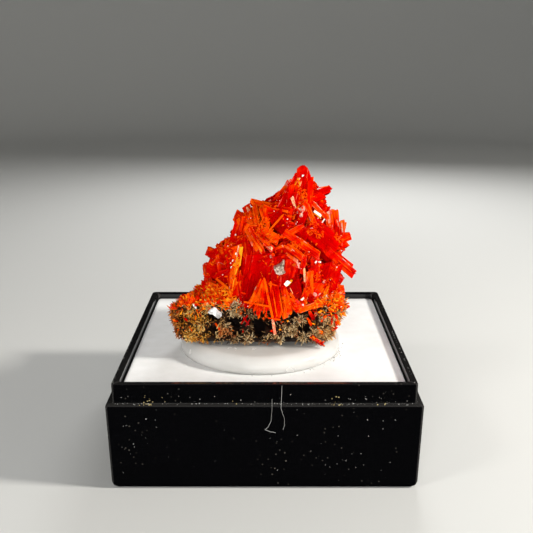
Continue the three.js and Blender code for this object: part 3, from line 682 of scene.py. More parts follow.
# Cavities in the front face: middle (x, height), half width, half height and depth.
FRONT_CAVITIES = [
    (-5.8, 3.1, 0.55, 0.42, 0.9), (-5.5, 1.6, 0.6, 0.47, 1.0), (-3.1, 2.3, 0.65, 0.85, 1.3),
    (-4.7, 0.8, 0.55, 0.25, 0.8), (-2.8, 0.9, 0.7, 0.5, 1.0), (-4.1, 3.9, 0.25, 0.38, 0.6),
    (-0.8, 1.8, 0.6, 0.62, 1.1), (-0.5, 0.6, 0.9, 0.45, 1.0), (-0.1, 3.3, 0.4, 0.54, 0.9),
    (1, 0.7, 0.4, 0.31, 0.7), (2.8, 0.6, 0.7, 0.39, 0.9), (3.1, 3.1, 0.6, 0.39, 0.8),
    (4.2, 1.8, 0.85, 0.47, 1.0), (5.2, 3, 0.55, 0.46, 0.9), (-9.1, 2.4, 0.3, 0.46, 0.6),
    (6.1, 1.6, 0.25, 0.31, 0.5), (-7.5, 4.2, 0.3, 0.2, 0.5), (0.6, 2.1, 0.4, 0.3, 0.6),
]
cavity = np.zeros(len(slab))
depth = np.zeros(len(slab))
front_side = np.clip(-slab_normals[:, 1] * 2 - 0.2, 0, 1)
for x, level, half_width, half_height, deep in FRONT_CAVITIES:
    away = np.hypot((slab[:, 0] - x) / half_width, (slab[:, 2] - level) / half_height)
    ragged = 0.35 * lumpiness(slab[:, 0] * 3.1, slab[:, 1] * 3.1, slab[:, 2] * 3.1)
    inside = np.clip(1.7 - away + ragged, 0, 1) * front_side
    inside = inside * inside * (3 - 2 * inside)
    depth = np.maximum(depth, inside * deep)
    cavity = np.maximum(cavity, inside)
# Elsewhere the cavities come from a coarse noise.
elsewhere = lumpiness(slab[:, 0] * 0.9 + 3, slab[:, 1] * 0.9, slab[:, 2] * 1.1 + 9)
pocket = np.clip((elsewhere - 0.32) * 4, 0, 1) * (1 - front_side) * (slab_normals[:, 2] > -0.5)
depth = np.maximum(depth, pocket * 0.8)
cavity = np.maximum(cavity, pocket)
print("cavity share of the skin:", round(float((cavity > 0.5).mean()), 3))

# %% Roughen the skin
rough = 0.55 * lumpiness(slab[:, 0] * 2.3, slab[:, 1] * 2.3 + 3, slab[:, 2] * 2.3)
rough = rough + 0.3 * lumpiness(slab[:, 0] * 5.1 + 4, slab[:, 1] * 5.1, slab[:, 2] * 5.1)
grip = np.clip((slab[:, 2] - 0.1) / 0.5, 0, 1)
slab = slab - slab_normals * ((depth + 0.12) * grip)[:, None] + slab_normals * (0.3 * rough * grip)[:, None]
slab[:, 2] = np.maximum(slab[:, 2], 0.0)
slab_normals = point_normals(slab, slab_faces)

matrix_gather = Gather("tone", "cavity", "needle")
slab_points = (slab + [0, 0, SPECIMEN_BASE]).tolist()
matrix_gather.add(slab_points, slab_faces, tone=(0.5 + 0.5 * rough).tolist(), cavity=cavity.tolist())
print("matrix top at", round(float(slab[:, 2].max()), 2), "mm above the pad")

# %% [markdown]
# Needles grow in small sprays: each spray has one root just under the skin, and its needles lie criss-cross
# or fan out round the skin's normal. Hair particles would be quicker to set up, but they aren't kept when a
# model is exported, so each needle is a thin prism of its own. Sprays avoid the cavities and stand in
# clumps, and the thickest tufts of the front have places of their own.

# %% Where sprays can grow
def spike(root, tip, width, next_number, taper=0.35):
    """A thin four-sided prism from root to tip (mm), as points and faces."""
    axis = tip - root
    side = axis.orthogonal().normalized()
    side.rotate(Matrix.Rotation(next_number() * math.pi, 3, axis.normalized()))
    other = axis.cross(side).normalized()
    points = []
    for at, scale in ((root, 1.0), (tip, taper)):
        for a, b in ((1, 0.25), (-0.25, 1), (-1, -0.25), (0.25, -1)):
            points.append(at + (side * a + other * b) * (width / 2 * scale))
    return [list(p) for p in points], stack_faces(2, 4)


quads = np.array(slab_faces)
face_centres = slab[quads].mean(axis=1)
face_normals = slab_normals[quads].mean(axis=1)
face_cavity = cavity[quads].mean(axis=1)
MOUND_SPREAD = (7.2, 5.6)
from_middle = (face_centres[:, 0] / MOUND_SPREAD[0], (face_centres[:, 1] + 0.6) / MOUND_SPREAD[1])
covered = (np.hypot(*from_middle) < 0.9) & (face_normals[:, 2] > 0.6)
bare = (face_cavity < 0.3) & (face_normals[:, 2] > -0.75) & (face_centres[:, 2] > 0.04) & ~covered
spray_faces = np.nonzero(bare)[0]
print("cells where a spray can stand:", len(spray_faces))

# %% Needles on the matrix
NEEDLES_PER_SPRAY = (5, 11)
PAD_ROOM = 0.15
needle_gather = Gather("tone", "cavity", "needle")
following = number_run(77)


def add_spray(middle, normal, spray_tone, upright, reach):
    """Needles from one root just under the skin."""
    for _ in range(int(between(*NEEDLES_PER_SPRAY, following()))):
        offset = Vector((following() - 0.5, following() - 0.5, following() - 0.5))
        lean = (normal * upright + offset * 2.0).normalized()
        root = middle - normal * 0.05 + offset * 0.5 + Vector((0, 0, SPECIMEN_BASE))
        tip = root + lean * reach * between(0.5, 1.2, following())
        if tip.z < SPECIMEN_BASE - PAD_ROOM or root.z < SPECIMEN_BASE - PAD_ROOM:
            continue
        width = between(0.07, 0.19, following() ** 1.5)
        points, faces = spike(root, tip, width, following)
        tone = min(1, max(0, spray_tone + 0.7 * (following() - 0.5)))
        needle_gather.add(points, faces, tone=tone, needle=[0.4] * 4 + [1.0] * 4)


# %% Sprays all over, and thick tufts at the front
SPRAY_COUNT = 3100
CLUMP = 2.2
# Places on the front with a thick tuft: across, height, radius, and the tones' range.
TUFT_PLACES = [
    (-6.1, 3.7, 0.64, 0.5, 0.95), (-2.9, 3.4, 0.86, 0.5, 0.95), (-1.9, 4.4, 0.43, 0.45, 0.85),
    (-4.1, 1.2, 0.54, 0.55, 0.95), (2.7, 1.1, 0.86, 0.45, 0.9), (3.7, 2.2, 0.54, 0.45, 0.85),
    (1.1, 0.4, 0.43, 0.4, 0.85), (5.9, 0.8, 0.54, 0.45, 0.9), (4.2, 0.1, 0.43, 0.4, 0.8),
    (-0.3, -0.2, 0.43, 0.35, 0.75), (-1.8, 0, 0.43, 0.4, 0.8), (-3.2, -0.1, 0.43, 0.4, 0.8),
    (-5, 0, 0.43, 0.4, 0.85), (-8.2, 3.2, 0.54, 0.6, 1), (-7.1, 1.5, 0.54, 0.5, 1),
    (-7.9, 0.4, 0.64, 0.5, 1), (-9.3, 1.9, 0.32, 0.3, 0.6), (0, 3.2, 0.32, 0.5, 0.9),
    (6.6, 2.4, 0.54, 0.5, 0.95), (6, 0.1, 0.32, 0.35, 0.8), (7.5, 0.4, 0.43, 0.5, 0.9),
    (8.6, 3.9, 0.54, 0.4, 0.9),
]
TUFT_SPRAYS_PER_MM2 = 20
VIEWED_ALONG = Vector((0, 0.963, -0.27))

for _ in range(SPRAY_COUNT):
    face = spray_faces[int(following() * len(spray_faces))]
    middle = Vector(face_centres[face])
    normal = Vector(face_normals[face]).normalized()
    if normal.y > -0.25 and following() < 0.25:
        continue
    # The sprays stand in clumps, with bare dark ground between them.
    clump = float(lumpiness(middle.x * CLUMP + 7, middle.y * CLUMP, middle.z * CLUMP))
    if clump < 0.05 and following() < (0.45 if middle.x < -5.5 or middle.y > 0 else 0.8):
        continue
    # Crocoite has grown over the top at both ends.
    left_top = middle.x < -3 and middle.z > 3.4
    right_top = middle.x > 4.2 and middle.z > 3.3
    if following() < (0.85 if left_top else 0.97 if right_top else 0.0):
        continue
    reach = between(0.22, 0.55, following()) * (0.75 if middle.x < -5 else 1.0)
    add_spray(middle, normal, following() * 0.7 + 0.3 * (clump > 0.25), between(0.1, 0.8, following()), reach)
slab_skin = BVHTree.FromPolygons(slab.tolist(), slab_faces)
for x, level, radius, low_tone, high_tone in TUFT_PLACES:
    for _ in range(int(TUFT_SPRAYS_PER_MM2 * math.pi * radius**2)):
        turn, away = 2 * math.pi * following(), radius * following() ** 0.6
        aim = Vector((x + away * math.cos(turn), -6, level + away * math.sin(turn)))
        seat, normal, _, _ = slab_skin.ray_cast(aim - VIEWED_ALONG * 10, VIEWED_ALONG)
        if seat is not None and seat.y < -3:
            spray_tone = between(low_tone, high_tone, following())
            upright = between(0.3, 1.2, following())
            add_spray(seat - normal * 0.1, normal, spray_tone, upright, between(0.25, 0.6, following()))
print("needles:", len(needle_gather.faces) // 6)

# %% [markdown]
# The rock and its needles share one finish, because the same rust stains both. The value "tone" runs from
# dark to pale along a ramp, and there are four ramps: ochre at the left, straw in the middle, olive at the
# right, and rust in patches and at the far left. The bare ground between the needles is nearly black.

# %% The matrix's finish
rock = Finish("rusty_matrix", Roughness=0.8, IOR=1.5)
place = rock.place()
tone = rock.value("tone")
needle = rock.value("needle")
along = rock.node("ShaderNodeSeparateXYZ", {0: place}).outputs[0]
patches = rock.noise(place, 330.0, 4.0, 0.65)
straw = rock.ramp(
    tone, (0.0, (0.03, 0.011, 0.005)), (0.3, (0.26, 0.12, 0.038)), (0.6, (0.56, 0.34, 0.13)),
    (1.0, (0.9, 0.71, 0.42)))
ochre = rock.ramp(
    tone, (0.0, (0.12, 0.018, 0.002)), (0.35, (0.58, 0.2, 0.01)), (0.65, (0.95, 0.46, 0.05)),
    (1.0, (1.0, 0.78, 0.28)))
rust = rock.ramp(tone, (0.0, (0.12, 0.01, 0.004)), (0.5, (0.5, 0.07, 0.01)), (1.0, (0.95, 0.3, 0.04)))
olive = rock.ramp(
    tone, (0.0, (0.05, 0.016, 0.005)), (0.35, (0.34, 0.13, 0.03)), (0.65, (0.62, 0.32, 0.09)),
    (1.0, (0.95, 0.7, 0.36)))


def reached(start, end, waviness):
    """A share that grows from 0 to 1 between two places across (mm), with a wavy border."""
    wavy = rock.maths("ADD", along, rock.maths("MULTIPLY", patches, waviness * MM))
    return rock.spread(wavy, start * MM, end * MM)


furred = rock.blend(reached(7.2, 9.6, 4), rock.blend(reached(-1.5, -4.5, 5), straw, ochre), olive)
furred = rock.blend(rock.maths("MULTIPLY", reached(-7.6, -8.6, 2), 0.6), furred, rust)
rusty = rock.spread(rock.noise(place, 520.0, 2.0), 0.56, 0.66)
furred = rock.blend(rock.maths("MULTIPLY", rusty, 0.85), furred, rust)
ground = rock.ramp(
    patches, (0.4, (0.006, 0.003, 0.002)), (0.6, (0.022, 0.009, 0.004)), (0.75, (0.07, 0.028, 0.011)))
colour = rock.blend(needle, ground, furred)
# Painted shade: the cavities are painted almost black.
colour = rock.blend(rock.maths("MULTIPLY", rock.value("cavity"), 0.97), colour, (0.003, 0.002, 0.002))
rock.to_shader("Base Color", colour)
rock.to_shader("Roughness", rock.spread(tone, 0.0, 1.0, 0.8, 0.4))
rock.bump(rock.noise(place, 1800.0, 3.0), 0.4, 0.08)
make_piece("rusty_matrix", matrix_gather, rock.material, ["matrix"])
make_piece("matrix_needles", needle_gather, rock.material, ["matrix"])

# %% [markdown]
# ## How one crocoite crystal is made
# A crocoite prism has a nearly square section, faces finely grooved along their length, and an end that is
# broken flat, cut to a chisel or drawn to a point. One function makes them all. The section's sides are
# divided unevenly and the inner points pushed in a little, so every face gets real grooves and every long
# edge a narrow bevel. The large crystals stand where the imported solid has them, give or take a little. The
# small ones between them are only here.

# %% Section of a crystal
FOUR_SIDED = [(0.5, 0.3), (-0.36, 0.5), (-0.5, -0.3), (0.36, -0.5)]
SIX_SIDED = [(0.5, 0.1), (0.26, 0.5), (-0.32, 0.46), (-0.5, -0.1), (-0.26, -0.5), (0.32, -0.46)]
FINE_STOPS = {4: (0.05, 0.15, 0.36, 0.6, 0.84, 0.95), 6: (0.07, 0.3, 0.66, 0.93)}
PLAIN_STOPS = (0.08, 0.92)


def crystal_section(corners, stops, next_number, groove):
    """Points round a section: shares of width and thickness, nearness to an edge, number of the side."""
    section = []
    for i, (a, b) in enumerate(corners):
        c, d = corners[(i + 1) % len(corners)]
        for stop in stops:
            inner = 0.1 < stop < 0.9
            share = stop + (next_number() - 0.5) * 0.1 * inner
            pull = 1 - (next_number() ** 2) * groove * inner
            edge = 0.0 if 0.2 < stop < 0.8 else (0.35 if inner else 1.0)
            section.append((between(a, c, share) * pull, between(b, d, share) * pull, edge, i))
    return section


print("points round a fine section:", [n * len(stops) for n, stops in FINE_STOPS.items()])

# %% A crystal's own directions
FRONT = Vector((0, -0.963, 0.27))


def crystal_axes(foot, tip, roll):
    """Along the crystal, across it and through it; roll turns the last two."""
    axis = (tip - foot).normalized()
    across = axis.cross(FRONT)
    if across.length < 0.2:
        across = Vector((1, 0, 0)) - axis * axis.x
    across.normalize()
    across.rotate(Matrix.Rotation(math.radians(roll), 3, axis))
    return axis, across, axis.cross(across)


# %% Ribs along the faces
RIBS_PER_MM = (1.2, 3.4)


def add_ribs(gather, foot, axes, ends, width, thickness, corners, tone, frost, next_number):
    """Thin ribs along a crystal's faces; the uppermost ones leave its end ragged."""
    axis, across, through = axes
    length, shoulder, tilt = ends
    for _ in range(int(between(*RIBS_PER_MM, next_number()) * length * min(1.0, tone * 2))):
        i = int(next_number() * len(corners))
        (a, b), (c, d) = corners[i], corners[(i + 1) % len(corners)]
        share = between(0.04, 0.96, next_number())
        side = across * (between(a, c, share) * width) + through * (between(b, d, share) * thickness)
        start = between(0.0, 0.75, next_number()) * length
        limit = shoulder + tilt * between(a, c, share) + between(-0.1, 0.14, next_number()) * width
        reach = min(start + between(0.2, 0.6, next_number()) * length, limit)
        half = between(0.03, 0.085, next_number() ** 1.5) * min(1.0, width)
        drift = (across * (next_number() - 0.5) + through * (next_number() - 0.5)) * 0.1 * width
        rib_tone = min(1.0, max(0.0, tone + between(-0.12, 0.3, next_number())))
        # About one rib in sixteen is painted pale, as a small streak of glint.
        rib_frost_and_painted_glint = frost + 0.9 * (next_number() > 0.94)
        points = []
        thickest = between(start, reach, 0.1)
        for level, scale, shift in ((start, 0.4, 0.8), (thickest, 1.0, 0.95), (reach, 0.7, 0.97)):
            middle = foot + axis * level + side * shift + drift * (level / length)
            for turn in range(4):
                angle = turn * math.pi / 2 + i
                outward = across * math.cos(angle) + through * math.sin(angle)
                points.append(list(middle + outward * half * scale))
        grain = [(p[0] * 3, p[1] * 3, k // 4) for k, p in enumerate(points)]
        gather.add(points, stack_faces(3, 4), tone=rib_tone, edge=0.3, frost=rib_frost_and_painted_glint, grain=grain)


# %% One whole crystal
BROAD_CRYSTAL = 1.5
FOOT_SCALE = 0.86
END_LENGTH = {"flat": 0.3, "blunt": 0.36, "chisel": 0.75, "point": 1.2}
# How much lighter the upward sides are painted: painted light from above.
UPPER_SIDE_PAINTED_LIGHT = 0.13
TIP_LIGHTER = 0.16
PAINTED_LIT_EDGE = 0.55


def add_crystal(gather, foot, tip, width, thickness, roll, end, tone, frost, next_number, fine=True):
    """One crystal from foot to tip (mm). A fine one has grooves, steps and ribs; a small one needs none."""
    axes = crystal_axes(foot, tip, roll)
    axis, across, through = axes
    length = (tip - foot).length
    corners = SIX_SIDED if width > BROAD_CRYSTAL else FOUR_SIDED
    stops = FINE_STOPS[len(corners)] if fine else PLAIN_STOPS
    section = crystal_section(corners, stops, next_number, 0.16 if fine else 0.0)
    end_length = min(END_LENGTH[end] * width, 0.6 * length)
    shoulder = length - end_length / 2 - (0 if end == "flat" else end_length / 2)
    tilt = end_length if end == "flat" else 0.0

    # Levels: scale across, scale through, height, slope of the level, frost there.
    levels = [(FOOT_SCALE, FOOT_SCALE, 0.0, 0.0, 0.0)]
    if fine:
        for share in (0.38, 0.7):
            share += 0.2 * (next_number() - 0.5)
            scale = between(FOOT_SCALE, 1.0, share) * (0.985 + 0.03 * next_number())
            step = 0.015 + 0.02 * next_number()
            levels.append((scale, scale, shoulder * share, 0.1 * tilt, 0.0))
            levels.append((scale - step, scale - step, shoulder * share + 0.03 * width, 0.1 * tilt, 0.0))
    levels.append((1.0, 1.0, shoulder - 0.04 * width, tilt, 0.25))
    if end == "flat":
        levels.append((0.93, 0.93, shoulder + 0.02 * width, tilt, 0.8))
        if fine:
            levels.append((0.6, 0.6, shoulder - 0.03 * width, tilt * 1.2, 0.6))
            levels.append((0.25, 0.25, shoulder + 0.03 * width, tilt * 0.8, 0.7))
    elif end == "blunt":
        levels.append((0.72, 0.6, length - 0.35 * end_length, 0.2 * end_length, 0.35))
        levels.append((0.3, 0.2, length, 0.1 * end_length, 0.5))
    elif end == "chisel":
        levels.append((0.52, 0.13, length - 0.1 * end_length, 0.35 * end_length, 0.6))
    else:
        levels.append((0.12, 0.12, length, 0.0, 0.5))

    # Each side has a tone of its own; sides that face up are painted lighter, as painted light from above.
    side_tones = []
    for i, (a, b) in enumerate(corners):
        c, d = corners[(i + 1) % len(corners)]
        outward = (across * (a + c) + through * (b + d)).normalized()
        side_tones.append(tone + UPPER_SIDE_PAINTED_LIGHT * outward.z + between(-0.07, 0.07, next_number()))

    points, edges, frost_and_painted_light_values, grain, tones = [], [], [], [], []
    mark = next_number() * 40
    # About a third of the sides of a lighter crystal get long edges painted paler: painted light along lit
    # edges.
    painted_lit_sides = [PAINTED_LIT_EDGE * (fine and tone > 0.15 and next_number() < 0.3) for _ in corners]
    for scale_a, scale_b, level, slope, level_frost in levels:
        for i, (a, b, edge, side) in enumerate(section):
            along = level + slope * a
            at = foot + across * (a * scale_a * width) + through * (b * scale_b * thickness) + axis * along
            points.append(list(at))
            edges.append(edge)
            tones.append(side_tones[side] + TIP_LIGHTER * (along / length - 0.6))
            # Frost on the end levels and the painted light on lit edges are both added to the crystal's frost.
            lit = min(max(level_frost * 0.5, edge * painted_lit_sides[side]), max(0.0, 1.0 - frost))
            frost_and_painted_light_values.append(frost + lit)
            turn = 2 * math.pi * i / len(section)
            grain.append((mark + math.cos(turn) * width, math.sin(turn) * width, along))
    gather.add(
        points, stack_faces(len(levels), len(section)), tone=tones, edge=edges, frost=frost_and_painted_light_values, grain=grain)
    if fine:
        ends = (length, shoulder, tilt)
        add_ribs(gather, foot, axes, ends, width, thickness, corners, tone, frost, next_number)


# %% Smaller crystals grown along a large one
COMPANION_SHARES = (0.22, 0.55)
COMPANION_FROST = 0.1


def add_companions(gather, foot, tip, width, thickness, roll, end, tone, frost, next_number):
    """Thinner crystals beside a large one, nearly parallel to it and half sunk in it.

    It takes what add_crystal takes, so that one shape serves both, but chooses their ends and frost itself.
    """
    axis, across, through = crystal_axes(foot, tip, roll)
    length = (tip - foot).length
    for _ in range(int(between(1, 4.5, next_number()))):
        share = between(*COMPANION_SHARES, next_number())
        turn = 2 * math.pi * next_number()
        beside = across * (math.cos(turn) * 0.36 * width) + through * (math.sin(turn) * 0.36 * thickness)
        drift = Vector((next_number() - 0.5, next_number() - 0.5, next_number() - 0.5)) * 0.12 * length
        start = foot + beside + axis * (length * between(0.0, 0.5, next_number()))
        stop = foot + beside + axis * (length * between(0.7, 1.0, next_number())) + drift * 0.6
        kind = ("flat", "chisel", "flat")[int(next_number() * 3)]
        other_tone = min(0.72, max(0.0, tone + between(-0.16, 0.16, next_number())))
        size = (width * share, thickness * share)
        turned = roll + between(-25, 25, next_number())
        add_crystal(gather, start, stop, *size, turned, kind, other_tone, COMPANION_FROST, next_number, False)


# %% The list of large crystals
# Name, foot, tip, width, thickness, roll, kind of end, tone (0 deep red to 1 yellow), frost (0 to 1; 1.4
# paints a near-white glint).
# Places are above the specimen's underside, in millimetres.
CRYSTALS = [
    # The tall point at the top and the flanks beside it.
    ("top point", (3.7, -3.2, 13.6), (4.3, -1.4, 18.5), 1.4, 1.5, 90, "blunt", 0.42, 0.15),
    ("top point roof", (4.3, -3.5, 13.7), (4.6, -1.8, 18.1), 0.89, 0.89, 35, "chisel", 0.12, 0.1),
    ("top point left", (1.8, -3.1, 13.9), (4.1, -1.6, 17.7), 1.5, 1.2, 12, "flat", 0.3, 0.1),
    ("top point foot", (2.7, -3.7, 13.5), (3.3, -2.1, 16.5), 1.4, 1, 0, "chisel", 0.36, 0.1),
    ("top point right", (4.7, -3.4, 13.9), (4.9, -1.8, 17.3), 0.84, 0.89, 30, "flat", 0.42, 0.1),
    ("right prong", (4.4, -2.6, 15.2), (7.3, -0.8, 15.9), 0.62, 0.9, 0, "flat", 0.2, 0.1),
    ("prong ledge", (4.9, -2.7, 14.6), (6.8, -2.4, 13.9), 1, 0.89, 20, "flat", 0.22, 0),
    ("left shoulder", (0.6, -3, 13.5), (2.8, -2.3, 15.5), 1.1, 0.89, 10, "flat", 0.14, 0),
    ("broken end", (4.2, -2.1, 12.9), (3.9, -4.2, 13.9), 1.1, 1, 15, "flat", 0.4, 0.55),
    ("long blade", (5.5, -4.1, 12.4), (4.2, -3.6, 15.2), 0.66, 0.55, 10, "point", 0.59, 0.1),
    ("pale blade", (6.8, -2.9, 12.9), (5, -3, 14.9), 0.61, 0.55, 0, "chisel", 0.62, 0.35),
    ("bright face", (5.4, -3.6, 13.8), (6.1, -4.2, 13.4), 0.35, 0.33, 0, "flat", 0.62, 1.4),
    # The left shoulder of the mound.
    ("left arm", (2.9, -4.2, 13.9), (-1.6, -0.4, 14.2), 0.84, 0.73, 30, "flat", 0.57, 0.1),
    ("arm below", (2.8, -4.3, 12.7), (-0.3, -2.8, 13.8), 1.5, 0.99, 10, "flat", 0.5, 0),
    ("corner block", (-1.4, -3.7, 12), (-3.2, -0.4, 12.7), 1.5, 1.1, 0, "flat", 0.5, 0.15),
    ("corner top", (-1.2, -3.8, 12.1), (-2.1, -0.6, 13.7), 1.1, 1, 10, "flat", 0.57, 0.2),
    ("upright blade", (-0.8, -4.2, 12.3), (-1.1, -1.7, 14), 0.67, 0.56, 0, "flat", 0.64, 0.1),
    ("upright blade", (0.1, -4.3, 12.6), (-0.4, -2.4, 14.2), 0.77, 0.55, 15, "chisel", 0.62, 0.1),
    ("left edge", (-3.7, -3.5, 9.9), (-2.7, -1.7, 12.9), 0.89, 0.78, 0, "chisel", 0.4, 0.1),
    ("left edge inner", (-2.9, -4.4, 9.7), (-2.1, -2.5, 13.1), 1.1, 0.88, 20, "flat", 0.38, 0),
    ("broad left face", (2.6, -4.8, 10.9), (1.3, -3.5, 13.8), 1.9, 1.1, -20, "flat", 0.14, 0),
    ("left ledge", (-0.6, -4.2, 12), (1.5, -5.7, 11), 1.1, 0.87, 0, "flat", 0.61, 0),
    # The fan that spreads down from the left shoulder.
    ("fan", (-2.1, -3.3, 12.1), (-0.8, -5.9, 9.9), 0.54, 0.49, 0, "chisel", 0.59, 0.15),
    ("fan", (-1.6, -3.7, 12), (0, -6.3, 9.5), 0.65, 0.54, 10, "chisel", 0.6, 0.1),
    ("fan", (-0.8, -4.4, 11.6), (0.9, -6.3, 10.1), 0.76, 0.54, 30, "flat", 0.55, 0.1),
    ("fan", (-2.4, -2.6, 12.4), (-1.7, -6, 8.7), 0.87, 0.66, -25, "chisel", 0.5, 0.1),
    ("fan back", (-1, -3.6, 11.7), (-0.6, -6.1, 8.5), 1.7, 0.98, 0, "flat", 0.22, 0),
    # The plates on the upper right.
    ("plate", (7.4, -3.4, 10.5), (7, -2.5, 13.7), 0.89, 0.44, 0, "flat", 0.59, 0.35),
    ("plate", (8, -2.8, 10.4), (7.8, -1.3, 13.5), 0.9, 0.67, 0, "flat", 0.55, 0.2),
    ("plate", (8.3, -2.4, 9.6), (8.8, -0.4, 12.2), 0.9, 0.57, 0, "chisel", 0.55, 0.25),
    ("plate block", (7.4, -3.4, 10.2), (9.6, -0.3, 10.3), 1.1, 0.9, 30, "flat", 0.45, 0.05),
    ("plate block", (7.2, -3.6, 9.6), (9.3, -0.3, 9.4), 1.1, 0.79, 0, "flat", 0.42, 0.05),
    ("big smooth face", (4.5, -4.2, 12.3), (8, -3.4, 9.1), 3.2, 1.1, -4, "flat", 0.22, 0),
    ("long right prong", (6.7, -4.4, 9.7), (10.2, -0.3, 5.8), 1.2, 1.1, 20, "flat", 0.5, 0.1),
    # The middle of the front.
    ("leading prism", (2.1, -5.2, 11.9), (5.9, -6.2, 9.4), 0.86, 0.81, 38, "flat", 0.55, 0.1),
    ("end post", (5.7, -5.6, 7), (5.5, -5.9, 9.3), 0.86, 0.75, 0, "flat", 0.55, 0.1),
    ("broad end", (4.3, -2.4, 10.3), (3.6, -5.5, 11.5), 3, 1.9, 0, "flat", 0.12, 0),
    ("rim blade", (1.9, -5.2, 11.3), (4.2, -5.2, 12.6), 0.65, 0.54, 0, "chisel", 0.59, 0.05),
    ("orange prism", (2.4, -5.7, 10.5), (4.1, -6.7, 9.3), 0.75, 0.64, 32, "flat", 0.61, 0.15),
    ("pale stub", (2.6, -5.7, 8.6), (3.7, -6.8, 8.6), 0.75, 0.64, 0, "flat", 0.55, 0.5),
    ("thin post", (4, -6.3, 7.5), (4.3, -6.3, 9.6), 0.59, 0.53, 0, "chisel", 0.59, 0.2),
    ("white face", (2.2, -7.6, 6.6), (2.6, -7.7, 7.1), 0.5, 0.31, 0, "flat", 0.61, 1.4),
    ("dark face", (3.8, -6.3, 3.8), (2.8, -6.9, 7.1), 2, 1.3, 10, "flat", 0.04, 0),
    ("smooth face", (2.3, -6.4, 5.9), (2.9, -5.9, 9.4), 2.1, 1.1, 0, "flat", 0.3, 0),
    ("right post", (4.5, -6.2, 5.2), (4.8, -6.3, 7.9), 0.85, 0.75, 35, "chisel", 0.55, 0.15),
    ("grain seat", (1.2, -6.2, 6.3), (1.5, -5.6, 9.7), 2.4, 1.1, 0, "flat", 0.3, 0),
    # Crystals that hang over the front of the matrix.
    ("hanging broad", (1, -6.9, 6.3), (1.4, -8.7, 3), 1.3, 0.94, 12, "chisel", 0.44, 0),
    ("hanging right", (2.2, -7, 6.1), (2.2, -8.5, 3.1), 1, 0.84, -20, "chisel", 0.54, 0.05),
    ("hanging left", (0.1, -7, 6.3), (0.3, -8.4, 4), 0.73, 0.73, 20, "chisel", 0.42, 0.05),
    ("spray", (-0.3, -6.8, 7), (-1.5, -8.3, 4.6), 0.63, 0.52, 0, "point", 0.61, 0),
    ("spray", (-0.1, -7, 6.6), (-0.8, -8.7, 3.5), 0.63, 0.52, 0, "point", 0.61, 0),
    ("wedge", (2, -7, 6.4), (2.6, -8.5, 3.7), 0.84, 0.63, 25, "flat", 0.5, 0.15),
    ("yellow bar", (3.7, -7.5, 3.7), (6.6, -6.3, 4.4), 0.74, 0.64, 10, "flat", 0.8, 0.1),
    ("left bar", (2, -7.3, 5.4), (3.7, -7.9, 3.8), 0.73, 0.73, 0, "flat", 0.61, 0.1),
    ("raised bar", (3.7, -7, 3.6), (4.7, -6.8, 6.2), 0.74, 0.64, 0, "chisel", 0.6, 0.1),
    # The lower right of the mound.
    ("low right", (5.8, -5.2, 8.1), (8.8, -0.4, 5), 1.3, 1, 25, "flat", 0.32, 0.05),
    ("low right", (5.1, -5.8, 7), (8.3, -0.5, 3.4), 1.6, 1.1, -20, "flat", 0.4, 0.05),
    ("low right", (6.3, -4.8, 5.5), (9, -0.3, 3.8), 1.2, 1, 0, "flat", 0.5, 0.1),
    ("low post", (6.1, -5.1, 5.1), (5, -6, 8.5), 1.2, 0.86, 15, "flat", 0.3, 0.05),
    ("low post", (6, -5.3, 5.3), (7.1, -4.6, 8.4), 1.2, 0.87, -15, "chisel", 0.24, 0.05),
    ("low post", (8, -2.1, 4.6), (7.3, -4.4, 8.1), 0.89, 0.77, 20, "flat", 0.45, 0.1),
    ("low front", (4.9, -6.1, 4.2), (6.1, -5.7, 6.4), 1.3, 0.96, 0, "flat", 0.45, 0.05),
    ("low edge", (7.1, -3.7, 3.3), (8.8, -0.4, 3.3), 1.2, 1, 0, "flat", 0.55, 0.1),
    # The lower left of the mound.
    ("striated prism", (-3.8, -6.7, 4.4), (-2.7, -4.9, 10.5), 0.86, 0.64, 8, "chisel", 0.7, 0.05),
    ("left face", (-3.1, -6.6, 4.9), (-4, -2.9, 10.2), 1.6, 1.1, -15, "flat", 0.36, 0),
    ("left face low", (-4.2, -5.9, 5.1), (-5.2, -1.9, 9.4), 1.3, 0.99, 20, "flat", 0.3, 0),
    ("left knob", (-4.1, -4.2, 8.2), (-6.5, -0.5, 8.4), 1.2, 1.1, 20, "flat", 0.3, 0.35),
    ("left wing", (-6, -4.6, 4.9), (-6.8, -0.5, 7.2), 0.89, 0.89, 20, "chisel", 0.52, 0.45),
    ("left wing low", (-4.7, -5.7, 4.3), (-6.9, -3.1, 5.4), 1.3, 0.98, 15, "flat", 0.36, 0.05),
    ("left tip", (-3.4, -4.5, 9), (-4.2, -2.2, 10.5), 0.66, 0.55, 0, "chisel", 0.55, 0.1),
    ("left tip", (-4, -4.3, 8.3), (-5.2, -1.2, 9.6), 0.78, 0.67, 0, "chisel", 0.59, 0.1),
    ("left wedge", (-3.6, -5.3, 7.6), (-5.7, -4.1, 6.5), 0.98, 0.76, 0, "point", 0.3, 0),
    ("left crust", (-4.1, -6.4, 4), (-6.1, -4.6, 5.5), 1.2, 0.86, 0, "chisel", 0.59, 0.05),
    ("left crust", (-5.4, -5.4, 3.5), (-7.9, -0.5, 3.9), 1.2, 0.89, 0, "flat", 0.53, 0.05),
    ("inner face", (-1.6, -6.9, 3.8), (-0.3, -5.6, 10), 3.2, 1.3, 6, "flat", 0.2, 0),
    ("inner face", (-1.9, -6.9, 4.5), (-1.4, -6.3, 8.1), 1.6, 1.3, -8, "chisel", 0.08, 0),
    ("inner face", (2.1, -6.5, 5.5), (2.5, -5.4, 9.9), 2.8, 1.1, 4, "flat", 0.28, 0),
    ("inner post", (-1.8, -6.9, 3.6), (-2.9, -5.7, 7.5), 1.4, 0.96, -6, "chisel", 0.4, 0),
]
print("large crystals:", len(CRYSTALS))
